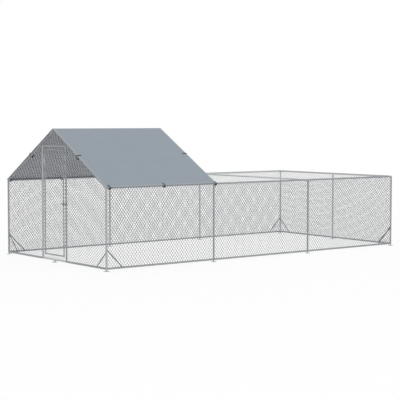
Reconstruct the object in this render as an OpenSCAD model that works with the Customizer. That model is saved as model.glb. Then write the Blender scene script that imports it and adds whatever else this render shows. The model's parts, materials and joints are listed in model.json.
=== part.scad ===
// Walk-in chicken run: a galvanised tube frame with hexagonal wire panels, a hinged door with
// a sliding bolt, and a roof cover that ball ties hold over the first of three bays.
// The origin is on the ground at the middle of the footprint. +X runs from the door gable to
// the far end, +Y from the near wall to the back wall, +Z up. Sizes are in millimetres.

/* [Run] */
// Length of the frame over the tubes
run_length = 5700; // [5200:10:6400]
// Width of the frame over the tubes
run_width = 2800; // [2500:10:3200]
// Height of the top rail axes
eave_height = 1157; // [1050:1:1300]
// Height of the ridge tube axis
ridge_height = 1953; // [1850:1:2150]
// Height of the base rail axes
base_height = 38; // [36:1:60]

/* [Tubes] */
// Outer diameter of the frame tubes
tube_d = 25; // [22:0.5:30]
// Wall of the frame tubes
tube_wall = 1; // [0.8:0.1:1.5]
// Outer diameter of the door tubes
door_tube_d = 19; // [16:0.5:22]
// Wall of the door tubes
door_tube_wall = 1; // [0.8:0.1:1.5]

/* [Hubs] */
// Plain arm of a hub, from its centre to the tube end
hub_arm = 18; // [18:1:30]
// Spigot of a hub inside the tube end
spigot_length = 42; // [30:1:70]
// Wall of a spigot
spigot_wall = 1.6; // [1.2:0.1:2.4]
// How far the ball of a hub stands proud of the tubes
hub_bulge = 0.7; // [0.4:0.1:1.5]
// Room between the two arms that leave an inner eave hub close together
arm_parting = 4; // [2:0.5:10]
// Clearance of pieces that plug into each other
plug_gap = 0.2; // [0.1:0.05:0.4]
// Clearance of pieces that lie against each other
seat_gap = 0.1; // [0.05:0.05:0.3]

/* [Screws] */
// Diameter of the screw shanks
screw_d = 5.6; // [4:0.2:6.6]
// Diameter of the screw heads over their corners
screw_head_d = 10; // [8:0.5:12]
// Height of the screw heads
screw_head_h = 3.5; // [2:0.5:5]
// Length of the screws below their heads
screw_reach = 7; // [6:0.5:8]

/* [Feet] */
// Diameter of the foot plates
foot_d = 88; // [80:1:120]
// Thickness of the foot plates
foot_t = 3; // [2:0.5:5]
// Diameter of the stub that holds a foot plate in its hub
foot_stub_d = 18; // [12:0.5:18]
// Height of that stub above the plate
foot_stub_h = 14; // [8:1:14]
// Diameter of the ground peg holes
peg_hole_d = 9; // [6:0.5:10]
// Circle of the ground peg holes
peg_circle_d = 64; // [56:1:66]

/* [Braces] */
// Distance of a brace's ends from the corner, along the rail and up the post of a long wall
brace_leg = 275; // [180:5:360]
// Width of the brace bars
brace_w = 15; // [12:0.5:22]
// Thickness of the brace bars
brace_t = 3; // [2:0.5:3]
// Room between the two braces that meet at a post
brace_parting = 2; // [1:0.5:10]

/* [Door] */
// Distance between the door post axes
door_post_spacing = 662; // [650:1:760]
// Distance between the stile axes
stile_spacing = 525; // [480:1:535]
// Height of the bottom door rail axis
door_bottom = 110; // [80:1:180]
// Drop from the rafter axes at the door posts to the head tube axis
head_drop = 44; // [40:1:80]
// Drop from the head tube axis to the top door rail axis
door_top_drop = 62; // [45:1:120]
// Height of the lower hinge above the bottom door rail
hinge_low_inset = 248; // [100:1:400]
// Drop of the upper hinge below the top door rail
hinge_high_inset = 164; // [100:1:400]
// Height of the latch above the ground
latch_height = 878; // [700:1:1100]

/* [Hinges] */
// Height of a hinge
hinge_h = 56; // [48:1:80]
// Height of the knuckle on the door leaf
door_knuckle_h = 26; // [20:1:30]
// Diameter of the knuckles
knuckle_d = 16; // [13:0.5:20]
// Diameter of the hinge pins
pin_d = 8; // [6:0.5:10]
// Diameter of the pin heads
pin_head_d = 13; // [12:0.5:18]
// Height of the pin heads
pin_head_h = 2.5; // [1.5:0.5:5]
// Wall of the collars round posts and stiles
collar_wall = 2; // [1.5:0.1:3]
// Thickness of the leaves and webs
leaf_t = 5; // [3:0.5:8]
// Radial clearance of the pins in the knuckles
running_gap = 0.05; // [0.02:0.01:0.1]
// Clearance between the knuckle ends
knuckle_gap = 0.5; // [0.3:0.1:1]

/* [Latch] */
// Diameter of the bolt
bolt_d = 8; // [6:0.5:10]
// Diameter of the barrels that guide the bolt
barrel_d = 15; // [14:0.5:18]
// Radial clearance of the bolt in its bracket
bolt_gap = 0.1; // [0.05:0.05:0.3]
// Radial clearance of the bolt in its keeper
keeper_gap = 0.6; // [0.4:0.1:1]
// Travel of the bolt
bolt_throw = 35; // [30:1:38]
// Distance of the bolt axis in front of the door
latch_stand = 27; // [26:0.5:32]
// Height of the collars of bracket and keeper
latch_collar_h = 44; // [36:1:60]
// Length of the bracket barrel
barrel_length = 42; // [36:1:46]
// Length of the keeper barrel
keeper_length = 21; // [18:1:24]
// Gap from the drawn bolt to the keeper
bolt_rest_gap = 12; // [8:1:14]
// Room left between the handle and the bracket when the bolt is home
handle_room = 4; // [2:0.5:8]
// Diameter of the bolt handle
handle_d = 6; // [5:0.5:8]
// Length of the bolt handle
handle_length = 24; // [18:1:40]
// Diameter of the knob on the handle
knob_d = 11; // [8:0.5:14]

/* [Wire panels] */
// Thickness of the wire panels
wire_t = 2; // [1.5:0.1:3]
// Width of the strands between the gaps
strand_w = 5; // [3:0.5:8]
// Width of the edge strips
selvedge = 8; // [5:0.5:14]
// Width of a gap between its twisted sides
cell_w = 470; // [400:10:600]
// Height of a row of gaps
cell_row = 280; // [250:10:400]
// Clearance of the panels from the hubs
wire_stand = 0.4; // [0.2:0.1:0.8]
// How far the panels reach past the rail axes
wire_lap = 2; // [1:0.5:3]
// Gap between neighbouring panels
panel_gap = 2; // [1:0.5:4]
// Clearance of cut-outs in the panels
notch_gap = 3; // [2:0.5:5]

/* [Cover] */
// Thickness of the roof cover
cover_t = 1.2; // [0.8:0.1:2]
// Clearance of the cover from the wire below it
cover_stand = 0.4; // [0.2:0.1:0.8]
// Overhang of the cover past the rafter axes
gable_overhang = 32; // [30:1:36]
// Angle that the cover wraps round the eave rails
eave_wrap = 35; // [20:1:45]

/* [Ties] */
// Diameter of the tie balls
ball_d = 30; // [20:1:30]
// Diameter of the elastic cord
cord_d = 4; // [3:0.5:5]
// Distance of an eyelet from the tube that its loop goes round
eyelet_inset = 42; // [40:1:60]
// Diameter of an eyelet's hole
eyelet_d = 7.2; // [6.4:0.2:9]
// Radial wall of an eyelet's barrel
eyelet_wall = 1; // [0.8:0.1:1.5]
// Width of an eyelet's flanges
flange_w = 3.4; // [2.5:0.1:4]
// Thickness of an eyelet's flanges
flange_t = 0.8; // [0.5:0.1:1]
// Distance of the first eave tie from the door gable
first_tie = 45; // [40:1:90]
// Distance of the last eave tie past the inner gable
last_tie = 20; // [20:1:22]
// Share of the slope at which the gable ties sit
gable_tie_share = 0.52; // [0.3:0.01:0.7]
// Distance of an eave ball from the rail axis
eave_ball_out = 31; // [30:1:34]
// Height of an eave ball against its rail axis, square to the roof
eave_ball_up = 8; // [4:1:10]
// Gap between the edge of the cover and a gable tie's cord
gable_cord_gap = 1; // [0.5:0.5:4]
// Distance of a gable ball from the rafter axis, into the house
gable_ball_in = 10; // [5:1:16]
// Depth of a gable ball below the rafter axis, square to the roof
gable_ball_down = 36; // [34:1:44]

/* [Hidden] */

$fn = 48;
// Depth by which a cutting body passes the face that it cuts
cut = 1;
// Sides of the tie cords
cord_sides = 8;
// Steps of the arcs in outlines
arc_steps = 6;

galvanised = [0.62, 0.63, 0.64];
zinc = [0.72, 0.73, 0.74];
dark_steel = [0.36, 0.37, 0.38];
wire_grey = [0.5, 0.51, 0.52];
cover_blue_grey = [0.58, 0.62, 0.66];
black = [0.08, 0.08, 0.08];

tube_r = tube_d / 2;
door_r = door_tube_d / 2;
hub_r = tube_r + hub_bulge;
spigot_r = tube_r - tube_wall - plug_gap;
half_l = (run_length - tube_d) / 2;
half_w = (run_width - tube_d) / 2;
bays = 3;
bay_l = 2 * half_l / bays;
xs = [for (i = [0 : bays]) i * bay_l - half_l];
pitch = atan((ridge_height - eave_height) / half_w);
slope_l = half_w / cos(pitch);
// Arms of the rafter and the tie at an inner eave hub, long enough to part from each other
steep_arm = (tube_r + arm_parting / 2) / sin(pitch / 2);

gable_x = xs[0];
post_y = door_post_spacing / 2;
stile_y = stile_spacing / 2;
hinge_y = (post_y + stile_y) / 2;
head_z = rafter_z(post_y) - head_drop;
door_top = head_z - door_top_drop;
hinge_zs = [door_bottom + hinge_low_inset, door_top - hinge_high_inset];
post_collar_r = tube_r + plug_gap + collar_wall;
stile_collar_r = door_r + plug_gap + collar_wall;
post_knuckle_h = (hinge_h - door_knuckle_h) / 2 - knuckle_gap;

keeper_y = keeper_length / 2 - post_y;
bolt_tip_y = keeper_y + bolt_rest_gap;
barrel_end_y = leaf_t - stile_y;
handle_y = barrel_end_y + bolt_throw + handle_room + handle_d / 2;
bolt_end_y = handle_y + handle_d;
bolt_x = gable_x - latch_stand;

wire_in = hub_r + wire_stand;
cover_in = wire_in + wire_t + cover_stand;
cover_mid = cover_in + cover_t / 2;
cord_r = cord_d / 2;
// How far the corners of a tie cord are cut back
corner_cut = cord_d;
eyelet_r = eyelet_d / 2 + eyelet_wall + flange_w;
flange_top = cover_in + cover_t + seat_gap / 2 + flange_t;
// Height of a tie cord's axis above the roof plane, where it turns over the edge of its eyelet
cord_top = flange_top + corner_cut - eyelet_d / 2 + sqrt(2) * (cord_r + plug_gap);

function unit(v) = v / norm(v);
function rafter_z(y) = ridge_height - abs(y) * tan(pitch);
function tube_row(a, b, screw_dir, arm_a = hub_arm, arm_b = hub_arm) =
    [a, b, arm_a, arm_b, screw_dir];
function side_run(y, z) =
    [for (i = [0 : bays - 1]) tube_row([xs[i], y, z], [xs[i + 1], y, z], [0, -sign(y), 0])];
function end_run(x, z) =
    [for (s = [-1, 1]) tube_row([x, 0, z], [x, s * half_w, z], [-sign(x), 0, 0])];
function post_row(x, y, screw_dir) =
    tube_row([x, y, base_height], [x, y, eave_height], screw_dir);
function side_post(x, s) = post_row(x, s * half_w, [0, -s, 0]);
function tie_row(x, arm) =
    tube_row([x, -half_w, eave_height], [x, half_w, eave_height], [0, 0, -1], arm, arm);
function rafter_rows(x, arm) = [for (s = [-1, 1])
    tube_row([x, s * half_w, eave_height], [x, 0, ridge_height],
             [0, -s * sin(pitch), -cos(pitch)], arm, hub_arm)];

near_base = side_run(-half_w, base_height);
back_base = side_run(half_w, base_height);
far_base = end_run(half_l, base_height);
door_base = end_run(-half_l, base_height);
near_top = side_run(-half_w, eave_height);
back_top = side_run(half_w, eave_height);
far_top = end_run(half_l, eave_height);
near_posts = [for (x = [xs[1], xs[2]]) side_post(x, -1)];
back_posts = [for (x = [xs[1], xs[2]]) side_post(x, 1)];
far_post = post_row(half_l, 0, [-1, 0, 0]);
corner_posts = [for (x = [xs[0], xs[bays]]) for (s = [-1, 1]) side_post(x, s)];
open_tie = tie_row(xs[2], hub_arm);
inner_tie = tie_row(xs[1], steep_arm);
door_rafters = rafter_rows(xs[0], hub_arm);
inner_rafters = rafter_rows(xs[1], steep_arm);
ridge_row = tube_row([xs[0], 0, ridge_height], [xs[1], 0, ridge_height], [0, 0, -1]);
all_tubes = concat(near_base, back_base, far_base, door_base, near_top, back_top, far_top,
                   near_posts, back_posts, [far_post], corner_posts, [open_tie, inner_tie],
                   door_rafters, inner_rafters, [ridge_row]);

// A screw is a point on a tube's axis, the way its head faces, and the head's distance from it
function tube_screws(t) =
    let (u = unit(t[1] - t[0]), m = spigot_length / 2)
    [[t[0] + u * (t[2] + m), t[4], tube_r], [t[1] - u * (t[3] + m), t[4], tube_r]];

// A brace is its corner, the way along its wall, the way into the run, and its reach along the
// rail and up the post. Those of the end walls reach less high, below their neighbours.
end_brace_height = brace_leg - brace_w * sqrt(2) - brace_t - brace_parting;
brace_rows = [for (sx = [-1, 1]) for (sy = [-1, 1]) for (long_side = [true, false])
    [[sx * half_l, sy * half_w, base_height],
     long_side ? [-sx, 0, 0] : [0, -sy, 0],
     long_side ? [0, -sy, 0] : [-sx, 0, 0],
     brace_leg, long_side ? brace_leg : end_brace_height]];
function brace_screws(b) =
    [for (p = [[0, 0, b[4]], b[1] * b[3]]) [b[0] + p, b[2], tube_r + seat_gap + brace_t]];

inward = [1, 0, 0];
post_fitting_screws = concat(
    [for (z = hinge_zs) [[gable_x, post_y, z], inward, post_collar_r]],
    [[[gable_x, -post_y, latch_height], inward, post_collar_r]]);
stile_screws = concat(
    [for (z = hinge_zs) [[gable_x, stile_y, z], inward, stile_collar_r]],
    [[[gable_x, -stile_y, latch_height], inward, stile_collar_r]]);
post_side_screws = concat([for (t = all_tubes) each tube_screws(t)],
                          [for (b = brace_rows) each brace_screws(b)], post_fitting_screws);
all_screws = concat(post_side_screws, stile_screws);

function on_line(p, a, b) =
    let (u = unit(b - a), d = (p - a) * u)
    d > 0 && d < norm(b - a) && norm(p - a - u * d) < cut;
function arms_at(p) = concat(
    [for (t = all_tubes) if (norm(t[0] - p) < cut) [unit(t[1] - t[0]), t[2]]],
    [for (t = all_tubes) if (norm(t[1] - p) < cut) [unit(t[0] - t[1]), t[3]]]);

corner_nodes = [for (x = [xs[0], xs[bays]]) for (s = [-1, 1]) [x, s * half_w, base_height]];
tee_nodes = concat([for (x = [xs[1], xs[2]]) for (s = [-1, 1]) [x, s * half_w, base_height]],
                   [for (x = [xs[0], xs[bays]]) [x, 0, base_height]]);

// A point above a roof slope: s is the side, v the way up from the eave rail, n the height
// square to the roof plane through the tube axes
function slope_point(s, x, v, n) =
    [x, s * (half_w - v * cos(pitch) + n * sin(pitch)),
     eave_height + v * sin(pitch) + n * cos(pitch)];

// An eave tie is its side and place along the rail, a gable tie its side and way out
tie_xs = [xs[0] + first_tie, (xs[0] + first_tie + xs[1] + last_tie) / 2, xs[1] + last_tie];
gable_v = gable_tie_share * slope_l;
sides = [-1, 1];
ways_out = [-1, 1];
function gable_tie_x(way) = way < 0 ? xs[0] : xs[1];

// A tie's loop as distances out from the tube it holds and up from the roof plane
under_tube = tube_r + cord_r + plug_gap;
ball_reach = ball_d / 2 + corner_cut + cord_r;
gable_cord_out = gable_overhang + gable_cord_gap + cord_r;
eave_corners = [
    [-eyelet_inset, cord_top],
    [eave_ball_out, max(cord_top + cord_r, eave_ball_up + ball_reach)],
    [eave_ball_out, eave_ball_up - ball_reach],
    [0, -under_tube - cord_r],
    [-under_tube, -under_tube],
    [-eyelet_inset, cover_in - 2 * cord_d]];
gable_corners = [
    [-eyelet_inset, cord_top],
    [gable_cord_out, cord_top + cord_r],
    [gable_cord_out, -gable_ball_down],
    [-gable_ball_in - ball_reach, -gable_ball_down],
    [-eyelet_inset, cover_in - 2 * cord_d]];
function cut_corners(route) = [for (i = [0 : len(route) - 1])
    let (n = len(route), p = route[i], a = route[(i + n - 1) % n], b = route[(i + 1) % n])
    each [p + unit(a - p) * corner_cut, p + unit(b - p) * corner_cut]];
eave_route = cut_corners(eave_corners);
gable_route = cut_corners(gable_corners);
function eave_loop(s, x) = [for (q = eave_route) slope_point(s, x, -q[0], q[1])];
function gable_loop(s, way) =
    [for (q = gable_route) slope_point(s, gable_tie_x(way) + way * q[0], gable_v, q[1])];

function arc_points(c, r, a, b) =
    [for (i = [0 : arc_steps]) let (t = a + (b - a) * i / arc_steps) c + r * [cos(t), sin(t)]];
function cover_path(r) = concat(
    arc_points([-half_w, eave_height], r, 90 + pitch + eave_wrap, 90 + pitch),
    arc_points([0, ridge_height], r, 90 + pitch, 90 - pitch),
    arc_points([half_w, eave_height], r, 90 - pitch, 90 - pitch - eave_wrap));
function backwards(list) = [for (i = [len(list) - 1 : -1 : 0]) list[i]];

// Outline moved inwards by d, for a convex outline that runs counter-clockwise
function inset_outline(pts, d) = [for (i = [0 : len(pts) - 1])
    let (n = len(pts), p = pts[i], e = unit(p - pts[(i + n - 1) % n]),
         f = unit(pts[(i + 1) % n] - p), a = [-e[1], e[0]], b = [-f[1], f[0]])
    p + d * (a + b) / (1 + a * b)];
function rectangle(x0, y0, x1, y1) = [[x0, y0], [x1, y0], [x1, y1], [x0, y1]];

module rod(a, b, r) {
    d = b - a;
    translate(a)
        rotate([0, acos(d[2] / norm(d)), atan2(d[1], d[0])])
            cylinder(h = norm(d), r = r);
}

module along(p, dir) {
    translate(p)
        rotate([0, acos(dir[2]), atan2(dir[1], dir[0])])
            children();
}

module screw(s) {
    along(s[0], s[1]) {
        translate([0, 0, s[2] - screw_reach])
            cylinder(h = screw_reach + seat_gap, d = screw_d);
        translate([0, 0, s[2] + seat_gap])
            cylinder(h = screw_head_h, d = screw_head_d, $fn = 6);
    }
}

module screw_hole(s) {
    along(s[0], s[1])
        translate([0, 0, s[2] - screw_reach - cut])
            cylinder(h = screw_reach + 2 * cut, d = screw_d + 2 * plug_gap);
}

module drilled(a, b) {
    difference() {
        children();
        for (s = all_screws)
            if (on_line(s[0], a, b)) screw_hole(s);
    }
}

module hollow_rod(a, b, r, wall) {
    u = unit(b - a);
    difference() {
        rod(a, b, r);
        rod(a - u * cut, b + u * cut, r - wall);
    }
}

module frame_tube(t) {
    u = unit(t[1] - t[0]);
    drilled(t[0], t[1])
        hollow_rod(t[0] + u * (t[2] + plug_gap), t[1] - u * (t[3] + plug_gap), tube_r, tube_wall);
}

module frame_tubes(rows) {
    color(galvanised)
        for (t = rows) frame_tube(t);
}

module hub(p) {
    reach = steep_arm + spigot_length;
    difference() {
        union() {
            translate(p) sphere(r = hub_r);
            for (arm = arms_at(p)) {
                rod(p, p + arm[0] * arm[1], tube_r);
                rod(p, p + arm[0] * (arm[1] + spigot_length), spigot_r);
            }
            children();
        }
        for (arm = arms_at(p))
            rod(p + arm[0] * (arm[1] - tube_r / 3), p + arm[0] * (arm[1] + spigot_length + cut),
                spigot_r - spigot_wall);
        for (s = post_side_screws)
            if (norm(s[0] - p) < reach) screw_hole(s);
    }
}

module hubs(points) {
    color(zinc)
        for (p = points) hub(p);
}

module base_hub(p) {
    ground = [p[0], p[1], 0];
    stub_top = foot_t + foot_stub_h + cut;
    difference() {
        hub(p) rod(p, ground + [0, 0, foot_t + seat_gap], tube_r);
        rod(ground, ground + [0, 0, stub_top], foot_stub_d / 2 + plug_gap);
    }
}

module base_hubs(points) {
    color(zinc)
        for (p = points) base_hub(p);
}

module foot_plate(p) {
    translate([p[0], p[1], 0])
        difference() {
            union() {
                cylinder(h = foot_t, d = foot_d);
                cylinder(h = foot_t + foot_stub_h, d = foot_stub_d);
            }
            for (a = [45 : 90 : 315])
                rotate(a)
                    translate([peg_circle_d / 2, 0, -cut])
                        cylinder(h = foot_t + 2 * cut, d = peg_hole_d);
        }
}

module brace(b) {
    reach = b[3];
    height = b[4];
    length = norm([reach, height]);
    translate(b[0] + b[2] * (tube_r + seat_gap + brace_t / 2))
        rotate([90, 0, atan2(b[1][1], b[1][0])])
            translate([0, height])
                rotate(-atan2(height, reach))
                    linear_extrude(brace_t, center = true)
                        difference() {
                            polygon(concat(arc_points([0, 0], brace_w / 2, 90, 270),
                                           arc_points([length, 0], brace_w / 2, -90, 90)));
                            for (x = [0, length])
                                translate([x, 0]) circle(d = screw_d + 2 * plug_gap);
                        }
}

// Door post, fitted over the base rail below and under its rafter above
module door_post(s) {
    foot = [gable_x, s * post_y, base_height];
    top = [gable_x, s * post_y, rafter_z(post_y)];
    slope = [0, -s * cos(pitch), sin(pitch)] * tube_d;
    level = [0, tube_d, 0];
    color(galvanised)
        drilled(foot, top)
            difference() {
                hollow_rod(foot, top, tube_r, tube_wall);
                rod(foot - level, foot + level, tube_r + seat_gap);
                rod(top - slope, top + slope, tube_r + seat_gap);
            }
}

// Gap of a wire panel at the size of its lattice cell, less the strands round it
module cell_gap(w, row) {
    rise = row / 2;
    half = w / 2;
    slant = strand_w / 2 * norm([rise, half]) / half;
    side_x = half - strand_w / 2;
    side_y = rise / 2 + rise * (half - side_x) / half - slant;
    tip_y = rise * 3 / 2 - slant;
    polygon([[side_x, -side_y], [side_x, side_y], [0, tip_y],
             [-side_x, side_y], [-side_x, -side_y], [0, -tip_y]]);
}

// Lattice of gaps over a w by h field, with twisted sides along its height
module cell_field(w, h) {
    columns = max(1, round(w / cell_w));
    rows = max(1, round(h / cell_row));
    cw = w / columns;
    row = h / rows;
    for (j = [0 : rows])
        for (i = [0 : columns - 1 + j % 2])
            translate([(i + (j % 2 == 0 ? 0.5 : 0)) * cw, j * row])
                cell_gap(cw, row);
}

// Flat wire panel with edge strips. turned lays the twists along the panel's length,
// and the children are cut out of it.
module wire_panel(outline, turned = false) {
    low = [min([for (p = outline) p[0]]), min([for (p = outline) p[1]])];
    size = [max([for (p = outline) p[0]]), max([for (p = outline) p[1]])] - low;
    linear_extrude(wire_t)
        difference() {
            polygon(outline);
            intersection() {
                polygon(inset_outline(outline, selvedge));
                translate(low)
                    if (turned)
                        translate([size[0], 0]) rotate(90) cell_field(size[1], size[0]);
                    else
                        cell_field(size[0], size[1]);
            }
            children();
        }
}

module upright_notch(x, z_low, z_high, w) {
    translate([x - w / 2, z_low]) square([w, z_high - z_low]);
}

tie_notch_w = ball_d / 2;
eave_notch_drop = under_tube + cord_d + 2 * notch_gap;
gable_notch_drop = gable_ball_down + cord_r + notch_gap;

module side_panel(s, i) {
    y = s > 0 ? half_w + wire_in + wire_t : -half_w - wire_in;
    outline = rectangle(xs[i] + panel_gap / 2, base_height - wire_lap,
                        xs[i + 1] - panel_gap / 2, eave_height + wire_lap);
    color(wire_grey)
        translate([0, y, 0])
            rotate([90, 0, 0])
                wire_panel(outline)
                    for (x = tie_xs)
                        upright_notch(x, eave_height - eave_notch_drop,
                                      eave_height + wire_lap + cut, tie_notch_w);
}

module end_panel(s) {
    inner = panel_gap / 2;
    low = base_height - wire_lap;
    high = eave_height + wire_lap;
    outline = s < 0 ? rectangle(-half_w, low, -inner, high) : rectangle(inner, low, half_w, high);
    color(wire_grey)
        translate([half_l + wire_in, 0, 0])
            rotate([90, 0, 90])
                wire_panel(outline, turned = true);
}

function gable_edge_z(y) = rafter_z(y) + wire_lap / cos(pitch);

module gable_sheet(outline) {
    color(wire_grey)
        translate([gable_x - wire_in - wire_t, 0, 0])
            rotate([90, 0, 90])
                wire_panel(outline, turned = true) {
                    for (s = sides)
                        translate([s * half_w * (1 - gable_tie_share),
                                   rafter_z(half_w * (1 - gable_tie_share))])
                            rotate(-s * pitch)
                                upright_notch(0, -gable_notch_drop, tube_r, tie_notch_w);
                    for (f = post_fitting_screws)
                        upright_notch(f[0][1], f[0][2] - hinge_h / 2 - notch_gap,
                                      f[0][2] + hinge_h / 2 + notch_gap,
                                      2 * (post_collar_r + notch_gap));
                }
}

module gable_panel(s) {
    inner = post_y + panel_gap / 2;
    low = base_height - wire_lap;
    points = [[s * inner, low], [s * half_w, low], [s * half_w, gable_edge_z(half_w)],
              [s * inner, gable_edge_z(inner)]];
    gable_sheet(s > 0 ? points : backwards(points));
}

module roof_panel(s) {
    notch = 2 * (eyelet_r + 2 * notch_gap);
    reach = eyelet_inset + notch / 2;
    edge = cord_d;
    outline = rectangle(xs[0] - edge, 0, xs[1] + edge, slope_l - panel_gap);
    color(wire_grey)
        translate([0, s * half_w, eave_height])
            rotate([pitch, 0, 0] * -s)
                translate([0, 0, wire_in])
                    mirror([0, s > 0 ? 1 : 0, 0])
                        wire_panel(outline) {
                            for (x = [tie_xs[0], tie_xs[1]])
                                upright_notch(x, -cut, reach, notch);
                            for (way = ways_out)
                                translate([gable_tie_x(way), gable_v])
                                    rotate(90 * way)
                                        upright_notch(0, -edge - cut, reach, notch);
                        }
}

module eyelet(p, s) {
    barrel_r = eyelet_d / 2 + eyelet_wall;
    reach = cover_t / 2 + seat_gap / 2;
    translate(p)
        rotate([-s * pitch, 0, 0])
            rotate_extrude()
                translate([eyelet_d / 2, 0]) {
                    translate([0, -reach]) square([eyelet_wall, 2 * reach]);
                    translate([0, reach]) square([eyelet_wall + flange_w, flange_t]);
                    translate([0, -reach - flange_t]) square([eyelet_wall + flange_w, flange_t]);
                }
}

function eyelet_places(s) = concat(
    [for (x = tie_xs) slope_point(s, x, eyelet_inset, cover_mid)],
    [for (way = ways_out)
        slope_point(s, gable_tie_x(way) - way * eyelet_inset, gable_v, cover_mid)]);

// Closed cord along a flat loop of points, b square to the loop's plane
module closed_cord(points, b) {
    n = len(points);
    rings = [for (i = [0 : n - 1])
        let (t = unit(points[(i + 1) % n] - points[(i + n - 1) % n]), u = unit(cross(b, t)))
        each [for (j = [0 : cord_sides - 1])
            let (a = 360 * j / cord_sides) points[i] + cord_r * (cos(a) * u + sin(a) * b)]];
    faces = [for (i = [0 : n - 1]) for (j = [0 : cord_sides - 1])
        let (k = (i + 1) % n, m = (j + 1) % cord_sides,
             p = i * cord_sides + j, q = i * cord_sides + m,
             v = k * cord_sides + j, w = k * cord_sides + m)
        each [[p, v, w], [p, w, q]]];
    polyhedron(rings, faces);
}

// Ball of a tie, bored along the roof's normal and then turned
module tie_ball(p, s, turn = 0) {
    translate(p)
        rotate([-s * pitch, 0, 0])
            rotate([0, turn, 0])
                difference() {
                    sphere(d = ball_d);
                    translate([0, 0, -ball_d])
                        cylinder(h = 2 * ball_d, r = cord_r + plug_gap);
                }
}

module stile(s) {
    low = [gable_x, s * stile_y, door_bottom - door_r];
    high = [gable_x, s * stile_y, door_top + door_r];
    drilled(low, high)
        hollow_rod(low, high, door_r, door_tube_wall);
}

module door_rail(z) {
    ends = [[gable_x, -stile_y, z], [gable_x, stile_y, z]];
    difference() {
        hollow_rod(ends[0], ends[1], door_r, door_tube_wall);
        for (p = ends)
            rod(p - [0, 0, door_tube_d], p + [0, 0, door_tube_d], door_r + seat_gap);
    }
}

// Collar round an upright tube at y and z, with the children joined to it and a bore of radius r
module collar_fitting(y, z, h, r, screw_row) {
    difference() {
        union() {
            translate([gable_x, y, z - h / 2]) cylinder(h = h, r = r + collar_wall);
            children();
        }
        translate([gable_x, y, z - h]) cylinder(h = 2 * h, r = r);
        screw_hole(screw_row);
    }
}

module knuckle(z, h, toward_y) {
    translate([gable_x, hinge_y, z]) cylinder(h = h, d = knuckle_d);
    translate([gable_x - leaf_t / 2, min(hinge_y, toward_y), z])
        cube([leaf_t, abs(toward_y - hinge_y), h]);
}

module pin_bore(z) {
    translate([gable_x, hinge_y, z - hinge_h])
        cylinder(h = 2 * hinge_h, r = pin_d / 2 + running_gap);
}

module post_leaf(z, screw_row) {
    difference() {
        collar_fitting(post_y, z, hinge_h, tube_r + plug_gap, screw_row)
            for (low = [-hinge_h / 2, hinge_h / 2 - post_knuckle_h])
                knuckle(z + low, post_knuckle_h, post_y);
        pin_bore(z);
    }
}

module door_leaf(z, screw_row) {
    difference() {
        collar_fitting(stile_y, z, door_knuckle_h, door_r + plug_gap, screw_row)
            knuckle(z - door_knuckle_h / 2, door_knuckle_h, stile_y);
        pin_bore(z);
    }
}

module barrel(y, length, tube_y) {
    translate([bolt_x, y, latch_height])
        rotate([-90, 0, 0])
            cylinder(h = length, d = barrel_d);
    translate([bolt_x, tube_y - leaf_t, latch_height - leaf_t])
        cube([latch_stand, 2 * leaf_t, 2 * leaf_t]);
}

module bolt_bore(gap) {
    translate([bolt_x, -2 * post_y, latch_height])
        rotate([-90, 0, 0])
            cylinder(h = 2 * post_y, d = bolt_d + 2 * gap);
}

module base_rails_near() { frame_tubes(near_base); }
module base_rails_back() { frame_tubes(back_base); }
module base_rails_far_end() { frame_tubes(far_base); }
module base_rails_door_end() { frame_tubes(door_base); }
module corner_post_door_near() { frame_tubes([corner_posts[0]]); }
module corner_post_door_back() { frame_tubes([corner_posts[1]]); }
module corner_post_far_near() { frame_tubes([corner_posts[2]]); }
module corner_post_far_back() { frame_tubes([corner_posts[3]]); }
module side_posts_near() { frame_tubes(near_posts); }
module side_posts_back() { frame_tubes(back_posts); }
module end_post_far() { frame_tubes([far_post]); }
module door_post_hinge_side() { door_post(1); }
module door_post_latch_side() { door_post(-1); }

module door_head_tube() {
    ends = [[gable_x, -post_y, head_z], [gable_x, post_y, head_z]];
    color(galvanised)
        difference() {
            hollow_rod(ends[0], ends[1], tube_r, tube_wall);
            for (p = ends)
                rod(p - [0, 0, tube_d], p + [0, 0, tube_d], tube_r + seat_gap);
        }
}

module top_rails_near() { frame_tubes(near_top); }
module top_rails_back() { frame_tubes(back_top); }
module top_rails_far_end() { frame_tubes(far_top); }
module open_run_tie() { frame_tubes([open_tie]); }
module house_tie() { frame_tubes([inner_tie]); }
module door_gable_rafters() { frame_tubes(door_rafters); }
module inner_gable_rafters() { frame_tubes(inner_rafters); }
module ridge_tube() { frame_tubes([ridge_row]); }

module base_corner_hubs() { base_hubs(corner_nodes); }
module base_tee_hubs() { base_hubs(tee_nodes); }
module top_side_hubs() { hubs([for (s = sides) [xs[2], s * half_w, eave_height]]); }
module top_end_hubs() { hubs([for (y = [-half_w, 0, half_w]) [half_l, y, eave_height]]); }
module door_eave_hubs() { hubs([for (s = sides) [xs[0], s * half_w, eave_height]]); }
module inner_eave_hubs() { hubs([for (s = sides) [xs[1], s * half_w, eave_height]]); }
module ridge_hubs() { hubs([for (x = [xs[0], xs[1]]) [x, 0, ridge_height]]); }

module foot_plates() {
    color(zinc)
        for (p = concat(corner_nodes, tee_nodes)) foot_plate(p);
}

module corner_braces() {
    color(dark_steel)
        for (b = brace_rows) brace(b);
}

module frame_screws() {
    color(zinc)
        for (s = post_side_screws) screw(s);
}

module near_wire_1() { side_panel(-1, 0); }
module near_wire_2() { side_panel(-1, 1); }
module near_wire_3() { side_panel(-1, 2); }
module back_wire_1() { side_panel(1, 0); }
module back_wire_2() { side_panel(1, 1); }
module back_wire_3() { side_panel(1, 2); }
module far_wire_near() { end_panel(-1); }
module far_wire_back() { end_panel(1); }
module gable_wire_near() { gable_panel(-1); }
module gable_wire_back() { gable_panel(1); }

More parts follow.
